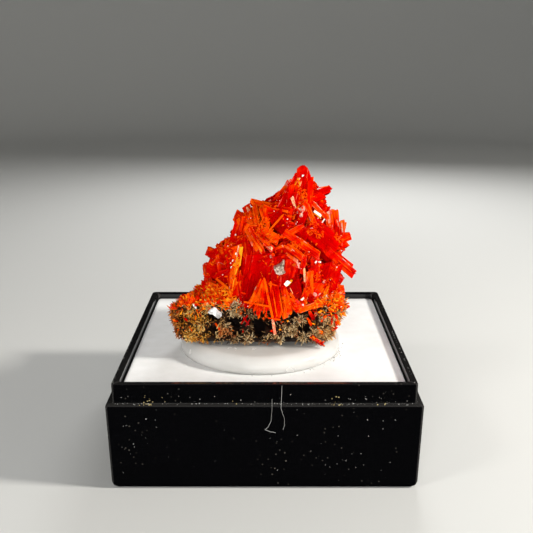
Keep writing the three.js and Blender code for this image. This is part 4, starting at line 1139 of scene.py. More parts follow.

# %% Small crystals between the large ones
# The same columns as the large crystals; rows with frost 1.4 are near-white painted glints.
SMALL_CRYSTALS = [
    # Round the top point.
    ("prong middle", (4.29, -2.97, 14.83), (7.1, -0.8, 15.59), 0.79, 0.9, 0, "flat", 0.18, 0.1),
    ("prong lower", (4.28, -3.22, 14.43), (6.5, -1.84, 15.24), 1, 0.89, 0, "flat", 0.2, 0.1),
    ("prong lit edge", (5.27, -2.57, 16.11), (7.22, -0.9, 16.12), 0.11, 0.14, 0, "flat", 0.6, 0.2),
    ("point frost", (3.63, -2.35, 16.93), (3.8, -2.4, 17.33), 0.34, 0.22, 0, "flat", 0.6, 1.2),
    ("point glint", (4.07, -2.35, 17.32), (4.23, -2.41, 17.64), 0.2, 0.18, 0, "flat", 0.6, 1.4),
    ("pale sliver", (3.34, -3.61, 14.12), (2.94, -3.36, 15.4), 0.38, 0.33, 0, "flat", 0.6, 1.2),
    ("lump", (3.95, -3.51, 13.6), (3.54, -4.19, 14.29), 0.44, 0.38, 20, "chisel", 0.4, 0.72),
    ("lump", (4.16, -3.91, 13.08), (4.07, -4.14, 14.45), 0.44, 0.38, 40, "flat", 0.4, 0.85),
    ("lump", (4.16, -3.88, 13.12), (3.79, -4.7, 13.8), 0.39, 0.39, 60, "chisel", 0.4, 0.85),
    ("point glint", (3.76, -1.94, 16.64), (3.96, -2.17, 17.56), 0.56, 0.34, 15, "chisel", 0.45, 0.6),
    ("glint", (6.28, -3.68, 12.58), (6.51, -3.92, 13.02), 0.15, 0.14, 0, "flat", 0.62, 1.4),
    ("bright face edge", (5.36, -3.73, 13.6), (6.09, -4.28, 13.15), 0.15, 0.18, 0, "flat", 0.9, 0.3),
    ("top side blade", (2.87, -2.79, 14.9), (2.56, -1.89, 16.3), 0.5, 0.45, 0, "chisel", 0.6, 0.15),
    ("top side blade", (2.21, -3.24, 14.21), (2, -2.45, 15.28), 0.5, 0.44, 0, "flat", 0.5, 0.1),
    ("step right of point", (5.08, -2.4, 15.28), (5.37, -1.8, 16.5), 0.45, 0.45, 0, "flat", 0.56, 0.1),
    ("back ridge", (5.85, -2.78, 13.79), (6.2, -2.2, 14.79), 0.56, 0.45, 0, "flat", 0.45, 0.1),
    ("back ridge", (6.29, -2.91, 13.37), (6.78, -1.94, 14.29), 0.56, 0.45, 0, "chisel", 0.5, 0.1),
    ("back ridge", (7.22, -2.34, 13.02), (7.62, -1.4, 13.5), 0.45, 0.45, 0, "flat", 0.5, 0.1),
    # The left shoulder.
    ("pink wedge", (-1.64, -2.08, 13.42), (-2.23, -0.8, 13.78), 0.45, 0.34, 0, "point", 0.6, 1.2),
    ("upright blade", (0.35, -4.63, 12.29), (0.02, -2.93, 14.15), 0.55, 0.44, 0, "flat", 0.63, 0.1),
    ("upright blade", (-1.4, -3.87, 12.23), (-1.65, -1.94, 13.61), 0.44, 0.44, 0, "chisel", 0.6, 0.1),
    ("needle across", (0.35, -5.35, 11.9), (2.07, -4.79, 13.76), 0.24, 0.22, 0, "point", 0.68, 0.2),
    ("needle", (-0.52, -4.91, 11.8), (-0.85, -3.7, 13.42), 0.12, 0.11, 0, "point", 0.64, 0.1),
    ("needle", (-0.08, -5.05, 11.84), (0.56, -4.89, 13.01), 0.12, 0.11, 0, "point", 0.66, 0.1),
    ("needle", (-0.63, -4.63, 12.18), (-0.08, -4.2, 13.42), 0.12, 0.11, 0, "chisel", 0.64, 0.2),
    ("needle", (0.13, -5.34, 11.46), (0.99, -5.42, 12.25), 0.13, 0.11, 0, "point", 0.7, 0.1),
    ("needle", (-0.3, -5.33, 11.24), (0.56, -5.58, 11.96), 0.13, 0.11, 0, "chisel", 0.66, 0.1),
    ("needle", (0.35, -4.95, 12.25), (-0.3, -4.73, 12.76), 0.13, 0.11, 0, "point", 0.7, 0.1),
    ("needle", (0.78, -5.5, 11.28), (0.24, -5.08, 12.5), 0.12, 0.11, 0, "point", 0.68, 0.1),
    ("needle", (-0.95, -4.86, 11.57), (-0.41, -4.62, 12.84), 0.12, 0.11, 0, "point", 0.64, 0.1),
    ("arm rib", (-0.31, -2.48, 14.06), (2.51, -4.35, 13.89), 0.33, 0.33, 0, "flat", 0.63, 0.1),
    ("arm tip", (-1.1, -1.36, 13.95), (-1.55, -0.7, 14.5), 0.45, 0.34, 0, "flat", 0.65, 0.2),
    ("shoulder wedge", (-2.52, -2.72, 12.2), (-3.25, -0.8, 12.92), 0.56, 0.45, 0, "chisel", 0.5, 0.2),
    ("shoulder block", (-2.63, -2.96, 11.8), (-2.99, -2.01, 12.61), 0.56, 0.56, 10, "flat", 0.56, 0.25),
    ("shoulder knot", (-2.28, -3.64, 11.51), (-1.72, -3.8, 12.55), 0.44, 0.44, 10, "flat", 0.6, 0.1),
    # The fan and the ground left of the middle.
    ("fan rib", (-2.06, -3.88, 11.56), (-1.27, -5.7, 10.44), 0.26, 0.22, 0, "chisel", 0.68, 0.5),
    ("fan rib", (-1.5, -4.47, 11.25), (-0.29, -6.42, 9.96), 0.28, 0.24, 0, "chisel", 0.68, 0.3),
    ("fan rib", (-1.17, -4.29, 11.66), (0.56, -6.12, 10.55), 0.32, 0.26, 0, "chisel", 0.65, 0.2),
    ("lit end", (0.13, -5.46, 10.49), (0.77, -6.47, 10.31), 0.39, 0.32, 0, "flat", 0.6, 1.2),
    ("lit stub", (0.51, -5.93, 9.22), (0.93, -6.83, 9.79), 0.38, 0.38, 0, "flat", 0.45, 0.95),
    ("twig", (-0.3, -5.32, 10.34), (1.2, -5.79, 11.24), 0.34, 0.32, 0, "chisel", 0.62, 0.1),
    ("twig", (-0.3, -5.09, 10.96), (0.67, -5.26, 12.22), 0.32, 0.32, 0, "chisel", 0.62, 0.1),
    ("twig", (0.56, -5.36, 10.69), (1.95, -5.8, 11.57), 0.34, 0.32, 0, "chisel", 0.6, 0.1),
    ("twig", (0.99, -5.74, 10.01), (1.95, -6.35, 10.61), 0.34, 0.32, 0, "flat", 0.6, 0.2),
    # The hollow round the grain.
    ("rim", (2.29, -5.76, 9.57), (3.55, -6.8, 8.96), 0.43, 0.43, 0, "flat", 0.6, 0.5),
    ("rim", (2.72, -5.8, 9.91), (3.87, -6.57, 9.45), 0.36, 0.32, 0, "chisel", 0.62, 0.4),
    ("rim", (2.07, -5.72, 10.45), (2.91, -6.48, 10.2), 0.32, 0.32, 0, "flat", 0.65, 0.4),
    ("grain side", (2.4, -6.46, 6.85), (2.59, -6.78, 8.29), 0.53, 0.42, 0, "chisel", 0.3, 0),
    ("white blade", (4.32, -6.49, 6.64), (4.21, -6.91, 8.32), 0.25, 0.21, 0, "chisel", 0.95, 1.21),
    ("thread", (2.69, -7.72, 6.34), (3, -8.15, 5.81), 0.084, 0.084, 0, "point", 0.62, 1.2),
    ("white face edge", (2.33, -7.11, 6.21), (2.88, -7.53, 7.2), 0.34, 0.25, 0, "chisel", 1, 0.1),
    # In front of the matrix.
    ("long needle", (-0.08, -7.47, 7.38), (0.87, -9.46, 3.35), 0.27, 0.25, 0, "point", 0.63, 0.15),
    ("cross needle", (-2.21, -8.25, 4.95), (0.66, -9.21, 4.71), 0.21, 0.19, 0, "point", 0.68, 0.1),
    ("foot needle", (0.35, -8.98, 3.4), (1.72, -9.16, 3.24), 0.19, 0.16, 0, "point", 0.62, 0.1),
    ("pink blade", (0.83, -8.37, 3.08), (1.1, -8.6, 1.35), 0.35, 0.25, 0, "flat", 0.45, 1.19),
    ("twig", (-1.05, -7.37, 5.34), (-1.68, -8.22, 4.27), 0.31, 0.31, 0, "chisel", 0.63, 0.1),
    ("twig", (2.49, -7.63, 4.97), (2.8, -8.39, 3.54), 0.36, 0.31, 0, "chisel", 0.6, 0.2),
    ("twig", (3.36, -7.17, 4.7), (2.7, -7.64, 5.76), 0.32, 0.32, 0, "chisel", 0.62, 0.2),
    ("twig", (4.13, -7.26, 3.83), (3.33, -7.96, 5.08), 0.38, 0.31, 0, "flat", 0.63, 0.1),
    ("upright twig", (0.67, -7.61, 5.3), (0.62, -7.74, 7.12), 0.21, 0.21, 0, "chisel", 0.65, 0.2),
    # The lower right.
    ("glint", (6.4, -5.08, 5.64), (6.49, -5.79, 6.6), 0.32, 0.26, 0, "flat", 0.68, 1),
    ("lump", (6.08, -5.29, 4.09), (5.89, -6.31, 5.33), 0.48, 0.43, 20, "chisel", 0.45, 0.85),
    ("lump", (5.73, -5.61, 4.19), (5.38, -6.59, 5.31), 0.43, 0.43, 50, "flat", 0.5, 0.8),
    ("right yellow", (7.46, -6.1, 3.89), (8.11, -5.8, 5.17), 0.54, 0.43, 0, "chisel", 0.7, 0.15),
    ("right yellow", (7.79, -6.1, 3.78), (8.42, -5.6, 4.42), 0.48, 0.43, 0, "flat", 0.7, 0.1),
    ("right yellow", (7.14, -5.9, 4.06), (7.57, -5.8, 4.83), 0.43, 0.43, 0, "flat", 0.67, 0.2),
    ("right orange", (7.39, -6, 2.12), (8.23, -6.5, 1.95), 0.64, 0.53, 0, "flat", 0.6, 0.1),
    ("right orange", (7.17, -6.3, 1.06), (7.78, -6.8, 1.48), 0.48, 0.43, 0, "chisel", 0.6, 0.1),
    ("red pocket", (5.06, -6.52, 2.08), (5.91, -6.45, 3.55), 0.43, 0.36, 0, "chisel", 0.35, 0),
    ("red pocket", (5.63, -6.08, 1.8), (4.77, -7.3, 3.61), 0.42, 0.36, 0, "chisel", 0.4, 0.1),
    ("red pocket", (5.86, -5.89, 2.08), (6.76, -5.42, 2.97), 0.43, 0.37, 0, "flat", 0.3, 0),
    ("pocket bar", (4.6, -6.82, 2.64), (5.13, -7.17, 1.85), 0.36, 0.32, 0, "flat", 0.6, 0.1),
    ("wall post", (5.13, -6.26, 5.21), (5.03, -6.58, 7.23), 0.43, 0.38, 0, "chisel", 0.6, 0.15),
    ("wall post", (5.22, -5.89, 8.04), (5.07, -6.14, 9.22), 0.43, 0.39, 0, "flat", 0.56, 0.1),
    ("needle", (-2.55, -8.06, 2.4), (-1.78, -8.44, 3.55), 0.21, 0.19, 0, "chisel", 0, 0),
    ("needle", (-1.69, -8.3, 2.37), (-2.32, -8.31, 3.28), 0.21, 0.19, 0, "chisel", 0.08, 0.2),
    ("needle", (-2.01, -8.22, 2.23), (-1.57, -8.56, 3.14), 0.19, 0.17, 0, "point", 0.02, 0),
    # The plates, with pale streaks painted as highlights.
    ("streak", (8.32, -2.32, 11.54), (7.93, -2.65, 12.69), 0.21, 0.18, 0, "chisel", 0.8, 1.15),
    ("streak", (8.71, -1.88, 11.09), (8.61, -0.9, 12.19), 0.2, 0.18, 0, "chisel", 0.8, 1.1),
    ("streak", (7.16, -3.38, 12.12), (6.93, -3.01, 13.72), 0.33, 0.22, 0, "flat", 0.56, 0.75),
    # The left side.
    ("splinter", (-5.29, -5.09, 6.56), (-3.89, -7.07, 6.03), 0.32, 0.28, 0, "chisel", 0.68, 0.1),
    ("knob grain", (-5.73, -2.06, 8.13), (-6.15, -0.7, 8.83), 0.51, 0.51, 10, "flat", 0.12, 0.35),
    ("wing edge", (-6.37, -3.14, 6.09), (-6.94, -0.7, 6.57), 0.45, 0.45, 0, "chisel", 0.4, 0.4),
    ("wing edge", (-6.32, -4.16, 5.24), (-7.04, -2.69, 5.49), 0.44, 0.44, 0, "flat", 0.4, 0.3),
    ("twig", (-4.63, -3.45, 8.96), (-5.45, -0.82, 9.33), 0.45, 0.4, 0, "flat", 0.63, 0.1),
    ("twig", (-3.95, -3.72, 9.49), (-4.34, -2.29, 10.39), 0.44, 0.4, 0, "flat", 0.57, 0.2),
    ("twig", (-3.13, -5.15, 8.51), (-3.48, -4.25, 10.08), 0.37, 0.33, 0, "chisel", 0.5, 0.1),
    ("twig", (-4.66, -6.33, 4.2), (-5.54, -5.91, 5.32), 0.43, 0.38, 0, "chisel", 0.67, 0.15),
    ("twig", (-5.81, -5.47, 4.03), (-6.74, -4.6, 4.68), 0.43, 0.39, 0, "flat", 0.62, 0.15),
    ("twig", (-6.79, -4.23, 3.62), (-7.96, -1.1, 3.32), 0.45, 0.4, 0, "chisel", 0.57, 0.1),
    ("twig", (-3.76, -7.08, 4.11), (-4.5, -7.07, 5.01), 0.42, 0.38, 0, "chisel", 0.68, 0.15),
    ("twig", (-8.01, -0.8, 2.25), (-8.66, -1.1, 3.2), 0.41, 0.36, 0, "chisel", 0.6, 0.1),
    # The right end of the matrix.
    ("grain", (7.53, -5.9, 1.15), (8.06, -6.2, 2.02), 0.47, 0.36, 0, "flat", 0.6, 0.2),
    ("grain", (7.42, -6, 0.84), (7.98, -6.4, 1.45), 0.32, 0.28, 0, "chisel", 0.5, 0.1),
    ("grain", (7.14, -5.9, 4.06), (8.02, -5.6, 5.11), 0.28, 0.24, 0, "chisel", 0.62, 0.1),
    ("grain", (7.57, -6, 3.98), (8.59, -5.5, 4.39), 0.3, 0.26, 0, "flat", 0.6, 0.15),
    ("grain", (6.29, -5.3, 4.67), (7.05, -5.12, 5.82), 0.28, 0.24, 0, "chisel", 0.66, 0.1),
    ("end pale", (7.92, -5, 4.57), (8.48, -4.8, 4.97), 0.26, 0.17, 0, "flat", 0.6, 1.2),
    # Thin lines on the hanging crystals.
    ("line", (0.83, -7.72, 6.12), (1.3, -9.21, 3.6), 0.12, 0.1, 0, "point", 0.68, 0.1),
    ("line", (1.2, -7.68, 6.22), (1.61, -9.15, 3.91), 0.1, 0.094, 0, "point", 0.25, 0.1),
    ("line", (1.52, -7.79, 5.92), (1.88, -9.1, 4.01), 0.11, 0.093, 0, "chisel", 0.7, 0.1),
    ("line", (2.05, -7.61, 5.97), (2.3, -8.91, 4.05), 0.12, 0.1, 0, "point", 0.62, 0.2),
    ("line", (2.43, -7.6, 5.74), (2.46, -8.76, 4.34), 0.1, 0.094, 0, "point", 0.35, 0.1),
    ("line", (0.61, -7.85, 5.82), (0.93, -9.17, 4.14), 0.1, 0.093, 0, "point", 0.3, 0.1),
    # Fine detail of the top point, and fills of two hollows.
    ("point rim", (4.4, -2.14, 17.56), (4.43, -1.87, 18.24), 0.13, 0.13, 0, "chisel", 0.6, 0.8),
    ("point crack", (3.48, -2.51, 16.62), (3.78, -2.54, 17.23), 0.13, 0.11, 0, "chisel", 0.7, 1.2),
    ("point crack", (3.84, -2.72, 16.44), (3.99, -2.7, 16.99), 0.12, 0.11, 0, "point", 0.5, 1.2),
    ("hollow fill", (3.6, -4.75, 11.76), (4.32, -3.77, 13.88), 1.1, 0.87, 0, "flat", 0.12, 0),
    ("inner gap", (-1.6, -6.83, 4.48), (-2.1, -4.47, 10.36), 1.6, 0.86, 0, "flat", 0.14, 0),
    # The yellow face of the striated prism.
    ("sliver", (-3.24, -6.83, 6.96), (-2.83, -6.43, 8.86), 0.13, 0.11, 0, "chisel", 1.2, 0.1),
    ("sliver", (-2.83, -6.39, 8.62), (-2.6, -5.83, 10.03), 0.11, 0.096, 0, "point", 1.3, 0.1),
    ("sliver", (-3, -6.67, 7.81), (-2.63, -6.21, 9.46), 0.12, 0.096, 0, "chisel", 0.62, 0.1),
    ("sliver", (-3.52, -7.11, 5.81), (-3.11, -6.61, 7.79), 0.14, 0.11, 0, "point", 0.95, 0.2),
    ("sliver", (-2.78, -7.15, 6.84), (-2.6, -6.86, 8.09), 0.13, 0.11, 0, "chisel", 0.45, 0.1),
    ("chip", (-3.29, -6.23, 8.36), (-3.2, -6.25, 8.74), 0.21, 0.15, 20, "flat", 1.1, 0.2),
    ("chip", (-3.08, -7.17, 6.51), (-2.93, -7.2, 6.89), 0.23, 0.15, -20, "flat", 0.8, 0.1),
    ("speck", (-3.15, -5.65, 9.47), (-3.06, -5.73, 9.72), 0.16, 0.13, 0, "flat", 0.7, 1.4),
    ("speck", (-3.5, -5.74, 8.73), (-3.41, -5.84, 8.96), 0.14, 0.12, 0, "flat", 0.7, 1.4),
    ("speck", (-3.67, -5.91, 8.04), (-3.58, -6.02, 8.25), 0.12, 0.11, 0, "flat", 0.7, 1.4),
    ("yellow face", (-2.77, -6.38, 8.4), (-2.52, -5.55, 10.35), 0.43, 0.24, 10, "flat", 1, 0.1),
    ("yellow face low", (-3.41, -6.83, 6.51), (-2.92, -5.92, 9.39), 0.23, 0.19, 0, "chisel", 0.86, 0.1),
    ("stripe pale", (-3.14, -6.13, 8.55), (-2.81, -5.25, 10.44), 0.12, 0.097, 0, "point", 0.8, 1.22),
    ("stripe red", (-3.08, -7.34, 6), (-2.7, -6.13, 9.44), 0.095, 0.085, 0, "chisel", 0.35, 0.1),
    # Broad ones behind the others.
    ("left mass", (-2.48, -5.79, 6.43), (-6.26, -1.22, 7.31), 2.9, 1.5, 10, "flat", 0.24, 0),
    ("left mass low", (-2.69, -6.4, 4.79), (-6.33, -4, 5.19), 1.9, 1.3, 10, "flat", 0.3, 0),
    ("hollow back", (2.73, -5.98, 7.61), (3.6, -4.85, 10.9), 2.6, 1.3, 0, "flat", 0.24, 0),
    ("right back", (6.83, -3.9, 4.92), (7.45, -3.62, 8.09), 2.6, 1.3, 0, "flat", 0.26, 0),
    # The bunch over the front of the matrix.
    ("bunch", (-0.3, -7.07, 6.48), (-1.84, -8.16, 4.69), 0.23, 0.21, 0, "chisel", 0.55, 0.1),
    ("bunch", (-0.3, -7.11, 6.37), (-1.51, -8.45, 4.45), 0.21, 0.19, 0, "point", 0.36, 0.1),
    ("bunch", (-0.19, -7.05, 6.58), (-1.19, -8.64, 3.96), 0.25, 0.21, 0, "chisel", 0.58, 0.15),
    ("bunch", (-0.08, -7.13, 6.38), (-0.9, -8.75, 3.66), 0.19, 0.17, 0, "point", 0.42, 0.1),
    ("bunch", (-0.08, -7.2, 6.18), (-0.67, -8.79, 3.23), 0.23, 0.2, 0, "chisel", 0.6, 0.1),
    ("bunch", (0.03, -7.21, 6.18), (-0.34, -8.72, 4.1), 0.19, 0.17, 0, "point", 0.32, 0.1),
    ("bunch", (0.13, -7.29, 5.98), (-0.12, -8.66, 3.74), 0.21, 0.19, 0, "chisel", 0.5, 0.15),
    ("bunch", (-0.72, -7.27, 5.75), (-1.51, -8.32, 4.97), 0.21, 0.19, 0, "flat", 0.68, 0.2),
    ("bunch", (-0.29, -7.48, 5.59), (-1.09, -8.74, 4.11), 0.17, 0.16, 0, "point", 0.7, 0.3),
    ("bunch", (-0.08, -7.5, 5.6), (-0.24, -8.81, 4.57), 0.13, 0.11, 0, "point", 0.62, 0.2),
    ("bunch", (-0.19, -8.23, 5.17), (-0.66, -8.9, 4.05), 0.1, 0.093, 0, "point", 0.36, 0.1),
    ("bunch", (-0.61, -8.04, 5.33), (-1.35, -8.71, 4.77), 0.1, 0.094, 0, "point", 0.66, 0.2),
    ("bunch", (-0.82, -8.24, 4.83), (-0.98, -8.86, 4.15), 0.1, 0.093, 0, "chisel", 0.3, 0.1),
    ("bunch", (0.24, -8.25, 5.17), (0.13, -8.88, 3.37), 0.13, 0.11, 0, "point", 0.46, 0.1),
]
print("small crystals:", len(SMALL_CRYSTALS))

# %% [markdown]
# ## The mound
# The middle of the mound is a few stout crystals. The listed crystals stand on them, and many more fill the
# gaps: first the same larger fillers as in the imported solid, which cover the back, then a dense growth of
# thin ones all round that stays within the mound's outline.

# %% The mound's outline
MOUND_HEIGHTS = [3, 5, 7, 9, 11, 13, 15, 16.6, 18.3]
MOUND_CENTRE_X = [0.2, 0.3, 1.2, 1.6, 2.4, 2.7, 3.7, 4.2, 4.3]
MOUND_HALF_WIDTH = [8, 8, 7.7, 7.3, 6.6, 5.6, 3.2, 1.9, 1]
MOUND_HALF_DEPTH = [7.2, 7.1, 6.5, 5.8, 5, 4, 2.6, 1.7, 0.9]
MOUND_CENTRE_Y = -0.6
LIFT = Vector((0, 0, SPECIMEN_BASE))


def outline_at(height):
    """The mound's middle (across), half width and half depth at a height above the specimen's underside."""
    tables = (MOUND_CENTRE_X, MOUND_HALF_WIDTH, MOUND_HALF_DEPTH)
    return [float(np.interp(height, MOUND_HEIGHTS, table)) for table in tables]


def mound_point(turn, height, out):
    """The point (mm, in the frame) in this direction; out is 0 in the middle and 1 on the outline."""
    centre_x, half_width, half_depth = outline_at(height)
    x = centre_x + half_width * out * math.cos(turn)
    y = MOUND_CENTRE_Y + half_depth * out * math.sin(turn)
    return Vector((x, y, height)) + LIFT


print("middle, half width and half depth at 9 mm:", outline_at(9))

# %% Smooth faces that small growth leaves bare
# Places (across, height) on the front of the mound, and their radius.
BARE_PLACES = [
    (1, 12.4, 1.2), (7, 10.2, 1.7), (-2.2, 6.5, 1.8), (2.8, 8, 1.1), (3.1, 5.7, 1), (-5.2, 8, 1),
    (3.8, 10.5, 1.2), (7.2, 14.9, 1), (3.5, 15.5, 1.3), (-0.8, 9.2, 0.8),
]


def outness(point):
    """How far out a point (mm, in the frame) is: 1 on the mound's outline."""
    centre_x, half_width, half_depth = outline_at(point.z - SPECIMEN_BASE)
    return math.hypot((point.x - centre_x) / half_width, (point.y - MOUND_CENTRE_Y) / half_depth)


def near_outline(point):
    """True close to the mound's outline as seen from the front or the back."""
    centre_x, half_width, _ = outline_at(point.z - SPECIMEN_BASE)
    return abs(point.x - centre_x) > 0.84 * half_width


def is_bare(point):
    """True on the smooth faces of the front."""
    if point.y > MOUND_CENTRE_Y:
        return False
    height = point.z - SPECIMEN_BASE
    return any(math.hypot(point.x - x, height - z) < radius for x, z, radius in BARE_PLACES)


print("bare places:", len(BARE_PLACES))

# %% Core crystals and fillers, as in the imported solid
# Number of crystals, heights of foot and tip, how far out the tip is, width, and turn of the tier.
CORE_TIERS = [
    (6, 2.5, 6.4, 0.72, 4.6, 0.3),
    (5, 3.5, 10, 0.7, 4.3, 0.8),
    (4, 6, 13.2, 0.68, 3.4, 0.1),
    (1, 8, 15.8, 0.1, 2.8, 0),
]
FILL_COUNT = 34
ENDS = ["flat", "chisel", "flat", "point"]

mound = Gather("tone", "edge", "frost", "grain")
detail = number_run(11)
for count, low, high, out, width, shift in CORE_TIERS:
    for i in range(count):
        turn = (i + shift) * 2 * math.pi / count
        foot, tip = mound_point(turn, low, 0.1), mound_point(turn, high, out)
        add_crystal(mound, foot, tip, width, width * 0.85, 25 * i, "chisel", 0.12, 0.0, detail)

following = number_run(2024)
for _ in range(FILL_COUNT):
    turn = between(-0.35, math.pi + 0.35, following())
    height = between(4.4, 16, following() ** 1.35)
    out = between(0.86, 1, following())
    rise = between(0.4, 4.2, following())
    swing = between(-0.55, 0.55, following())
    width = between(0.5, 1.35, following() ** 1.5)
    foot = mound_point(turn + swing, max(3.4, height - rise), 0.42)
    tip = mound_point(turn, height, out)
    end = ENDS[int(following() * 4)]
    thickness = width * between(0.55, 0.95, following())
    roll = 90 * following()
    tone = between(0.3, 0.7, detail())
    add_crystal(mound, foot, tip, width, thickness, roll, end, tone, 0.1, detail)
print("core and fillers:", len(mound.faces), "faces")

# %% [markdown]
# From the back the mound is the same thicket as from the front. Stout crystals with thinner ones beside them
# give it large faces, and broad deep red ones stand between and behind all others, so that no gap shows the
# inside. Nothing is known of the real back, so seeded loops make it in keeping with the front.

# %% Stout crystals on the back and the sides
BACK_COUNT = 64
following = number_run(6060)
for _ in range(BACK_COUNT):
    turn = between(-0.2, math.pi + 0.2, following())
    height = between(4.6, 15, following() ** 1.2)
    out = between(0.86, 0.96, following())
    width = between(0.6, 1.6, following() ** 1.4)
    foot_turn = turn + between(-0.5, 0.5, following())
    foot_height = max(3.4, height - between(-1.4, 3.4, following()))
    foot = mound_point(foot_turn, foot_height, out - between(0.15, 0.4, following()))
    tip = mound_point(turn, height, out)
    thickness = width * between(0.6, 0.9, following())
    roll = 90 * following()
    shape = (foot, tip, width, thickness, roll, ENDS[int(following() * 4)])
    tone = between(0.15, 0.6, following())
    add_crystal(mound, *shape, tone, 0.1, detail)
    add_companions(mound, *shape, tone, 0.1, following)
print("with the back:", len(mound.faces), "faces")

# %% Broad deep red crystals that close the gaps
BODY_COUNT = 75
following = number_run(4711)
for _ in range(BODY_COUNT):
    turn = 2 * math.pi * following()
    height = between(4.2, 15.5, following() ** 1.2)
    out = between(0.78, 0.9, following())
    swing = between(-0.5, 0.5, following())
    width = between(0.9, 2.1, following())
    foot = mound_point(turn + swing, max(3.3, height - between(0.6, 3.5, following())), out - 0.3)
    tip = mound_point(turn, height, out)
    end = ENDS[int(following() * 4)]
    # Their deep red is partly the crystals' own colour and partly painted shade for the gaps between crystals.
    tone = between(0.02, 0.3, following())
    add_crystal(mound, foot, tip, width, width * 0.8, 90 * following(), end, tone, 0.0, following, False)
print("with the broad red ones:", len(mound.faces), "faces")

# %% The listed crystals
companion_run = number_run(3131)
for _, foot, tip, width, thickness, roll, end, tone, frost in CRYSTALS:
    shape = (Vector(foot) + LIFT, Vector(tip) + LIFT, width, thickness, roll, end, tone, frost)
    add_crystal(mound, *shape, detail)
    if frost < 1 and width > 0.6:
        add_companions(mound, *shape, companion_run)
for _, foot, tip, *shape in SMALL_CRYSTALS:
    add_crystal(mound, Vector(foot) + LIFT, Vector(tip) + LIFT, *shape, detail, False)
print("with the listed crystals:", len(mound.faces), "faces")

# %% Thin crystals all round
THIN_COUNT = 900
following = number_run(909)
for _ in range(THIN_COUNT):
    turn = 2 * math.pi * following()
    height = between(3.6, 16.8, following() ** 1.25)
    out = between(0.8, 0.985, following()) * (0.88 if height > 13.5 else 1.0)
    crossing = following() < 0.35
    rise = between(-0.6, 1.0, following()) if crossing else between(0.3, 2.4, following())
    swing = between(-0.45, 0.45, following()) * (1.3 if crossing else 0.8)
    foot_out = out - (0.05 if crossing else between(0.15, 0.35, following()))
    width = between(0.14, 0.55, following() ** 1.6)
    foot = mound_point(turn + swing, max(3.3, height - rise), foot_out)
    tip = mound_point(turn, height, out)
    if (tip - foot).length < 0.6 or is_bare(tip) or is_bare((foot + tip) / 2):
        continue
    if (height > 12 and near_outline(tip)) or (math.sin(turn) > 0.2 and following() < 0.55):
        continue
    end = ENDS[int(following() * 4)]
    tone = between(0.15, 0.66, following())
    frost = max(0.0, following() - 0.9) * 8
    add_crystal(mound, foot, tip, width, width * 0.8, 90 * following(), end, tone, frost, following, False)
print("with the thin ones:", len(mound.faces), "faces")

# %% [markdown]
# ## Crocoite's finish
# Crocoite is see-through at its edges and glows red inside, because it absorbs green and blue. Plain
# transmission would let the pale surroundings through and wash the red out, so the glow comes from light
# scattered just under the surface, and a high refraction index gives the hard glints. The base colour runs
# from deep red through orange to yellow. Long edges and grooved faces scatter more light, so they are
# lighter; on the long edges this lighter colour is painted light. Frost past 1.3 turns near white, as painted
# glints. Fine streaks run along each crystal: their noise is read in the crystal's own directions.

# %% The crystal finish
crocoite = Finish("crocoite", IOR=1.6, Subsurface_Weight=0.35, Specular_IOR_Level=0.16)
crocoite.shader.inputs["Subsurface Radius"].default_value = (1.0, 0.4, 0.2)
crocoite.shader.inputs["Subsurface Scale"].default_value = 0.35 * MM
STREAK_STRETCH = (7.0, 7.0, 0.45)
directions = {0: crocoite.value("grain", "Vector"), 1: STREAK_STRETCH}
stretch = crocoite.node("ShaderNodeVectorMath", directions, operation="MULTIPLY")
streaks = crocoite.noise(stretch.outputs[0], 1.0, 3.0, 0.6)
place = crocoite.place()
clouds = crocoite.noise(place, 700.0, 3.0, 0.6)
tone = crocoite.value("tone")
frost = crocoite.value("frost")
# The deep red crystals are even, the lighter ones streaky and clouded.
uneven = crocoite.spread(tone, 0.15, 0.6, 0.25, 1.0)
streaky = crocoite.spread(streaks, 0.3, 0.7, -0.24, 0.16)
change = crocoite.maths("ADD", streaky, crocoite.spread(clouds, 0.35, 0.65, -0.22, 0.12))
shade = crocoite.maths("ADD", tone, crocoite.maths("MULTIPLY", change, uneven))
# Painted light: long edges are painted lighter orange, more so on lighter crystals.
painted_edge_light = crocoite.maths("MULTIPLY", uneven, crocoite.spread(clouds, 0.35, 0.65, 0.08, 0.36))
painted_edge_light = crocoite.maths("MULTIPLY", crocoite.value("edge"), painted_edge_light)
shade = crocoite.maths("ADD", shade, painted_edge_light, clamp=True)
# Only the one yellow prism goes past orange.
shade = crocoite.maths("MINIMUM", shade, crocoite.maths("MAXIMUM", tone, 0.82))
body = crocoite.ramp(
    shade,
    (0.0, (0.26, 0.0, 0.0)), (0.25, (0.48, 0.0, 0.0)), (0.5, (0.66, 0.004, 0.0)),
    (0.68, (0.8, 0.034, 0.0)), (0.84, (0.9, 0.092, 0.001)), (1.0, (0.95, 0.3, 0.01)),
)
# Frost is pale with red veins; from frost 1.1 up it turns paler, and past 1.3 near white, as painted glints.
veins = crocoite.noise(place, 2600.0, 2.0, 0.5)
pale = crocoite.maths("MULTIPLY", frost, crocoite.spread(veins, 0.42, 0.55, 0.1, 1.1))
pale = crocoite.maths("MAXIMUM", crocoite.spread(pale, 0.4, 1.0), crocoite.spread(frost, 1.1, 1.3))
frost_and_painted_glint_colour = crocoite.ramp(
    crocoite.maths("MULTIPLY", frost, 0.7),
    (0.35, (0.9, 0.17, 0.09)), (0.65, (0.62, 0.34, 0.27)), (0.77, (0.62, 0.34, 0.27)),
    (0.84, (0.95, 0.42, 0.22)), (0.93, (1.0, 0.93, 0.8)),
)
crocoite.to_shader("Base Color", crocoite.blend(pale, body, frost_and_painted_glint_colour))
crocoite.to_shader("Roughness", crocoite.spread(streaks, 0.3, 0.75, 0.05, 0.2))
ripples = crocoite.maths("ADD", crocoite.maths("MULTIPLY", streaks, 0.4), clouds)
crocoite.bump(ripples, 0.5, 0.12)
make_piece("crocoite_mound", mound, crocoite.material, ["crocoite_crystals"])
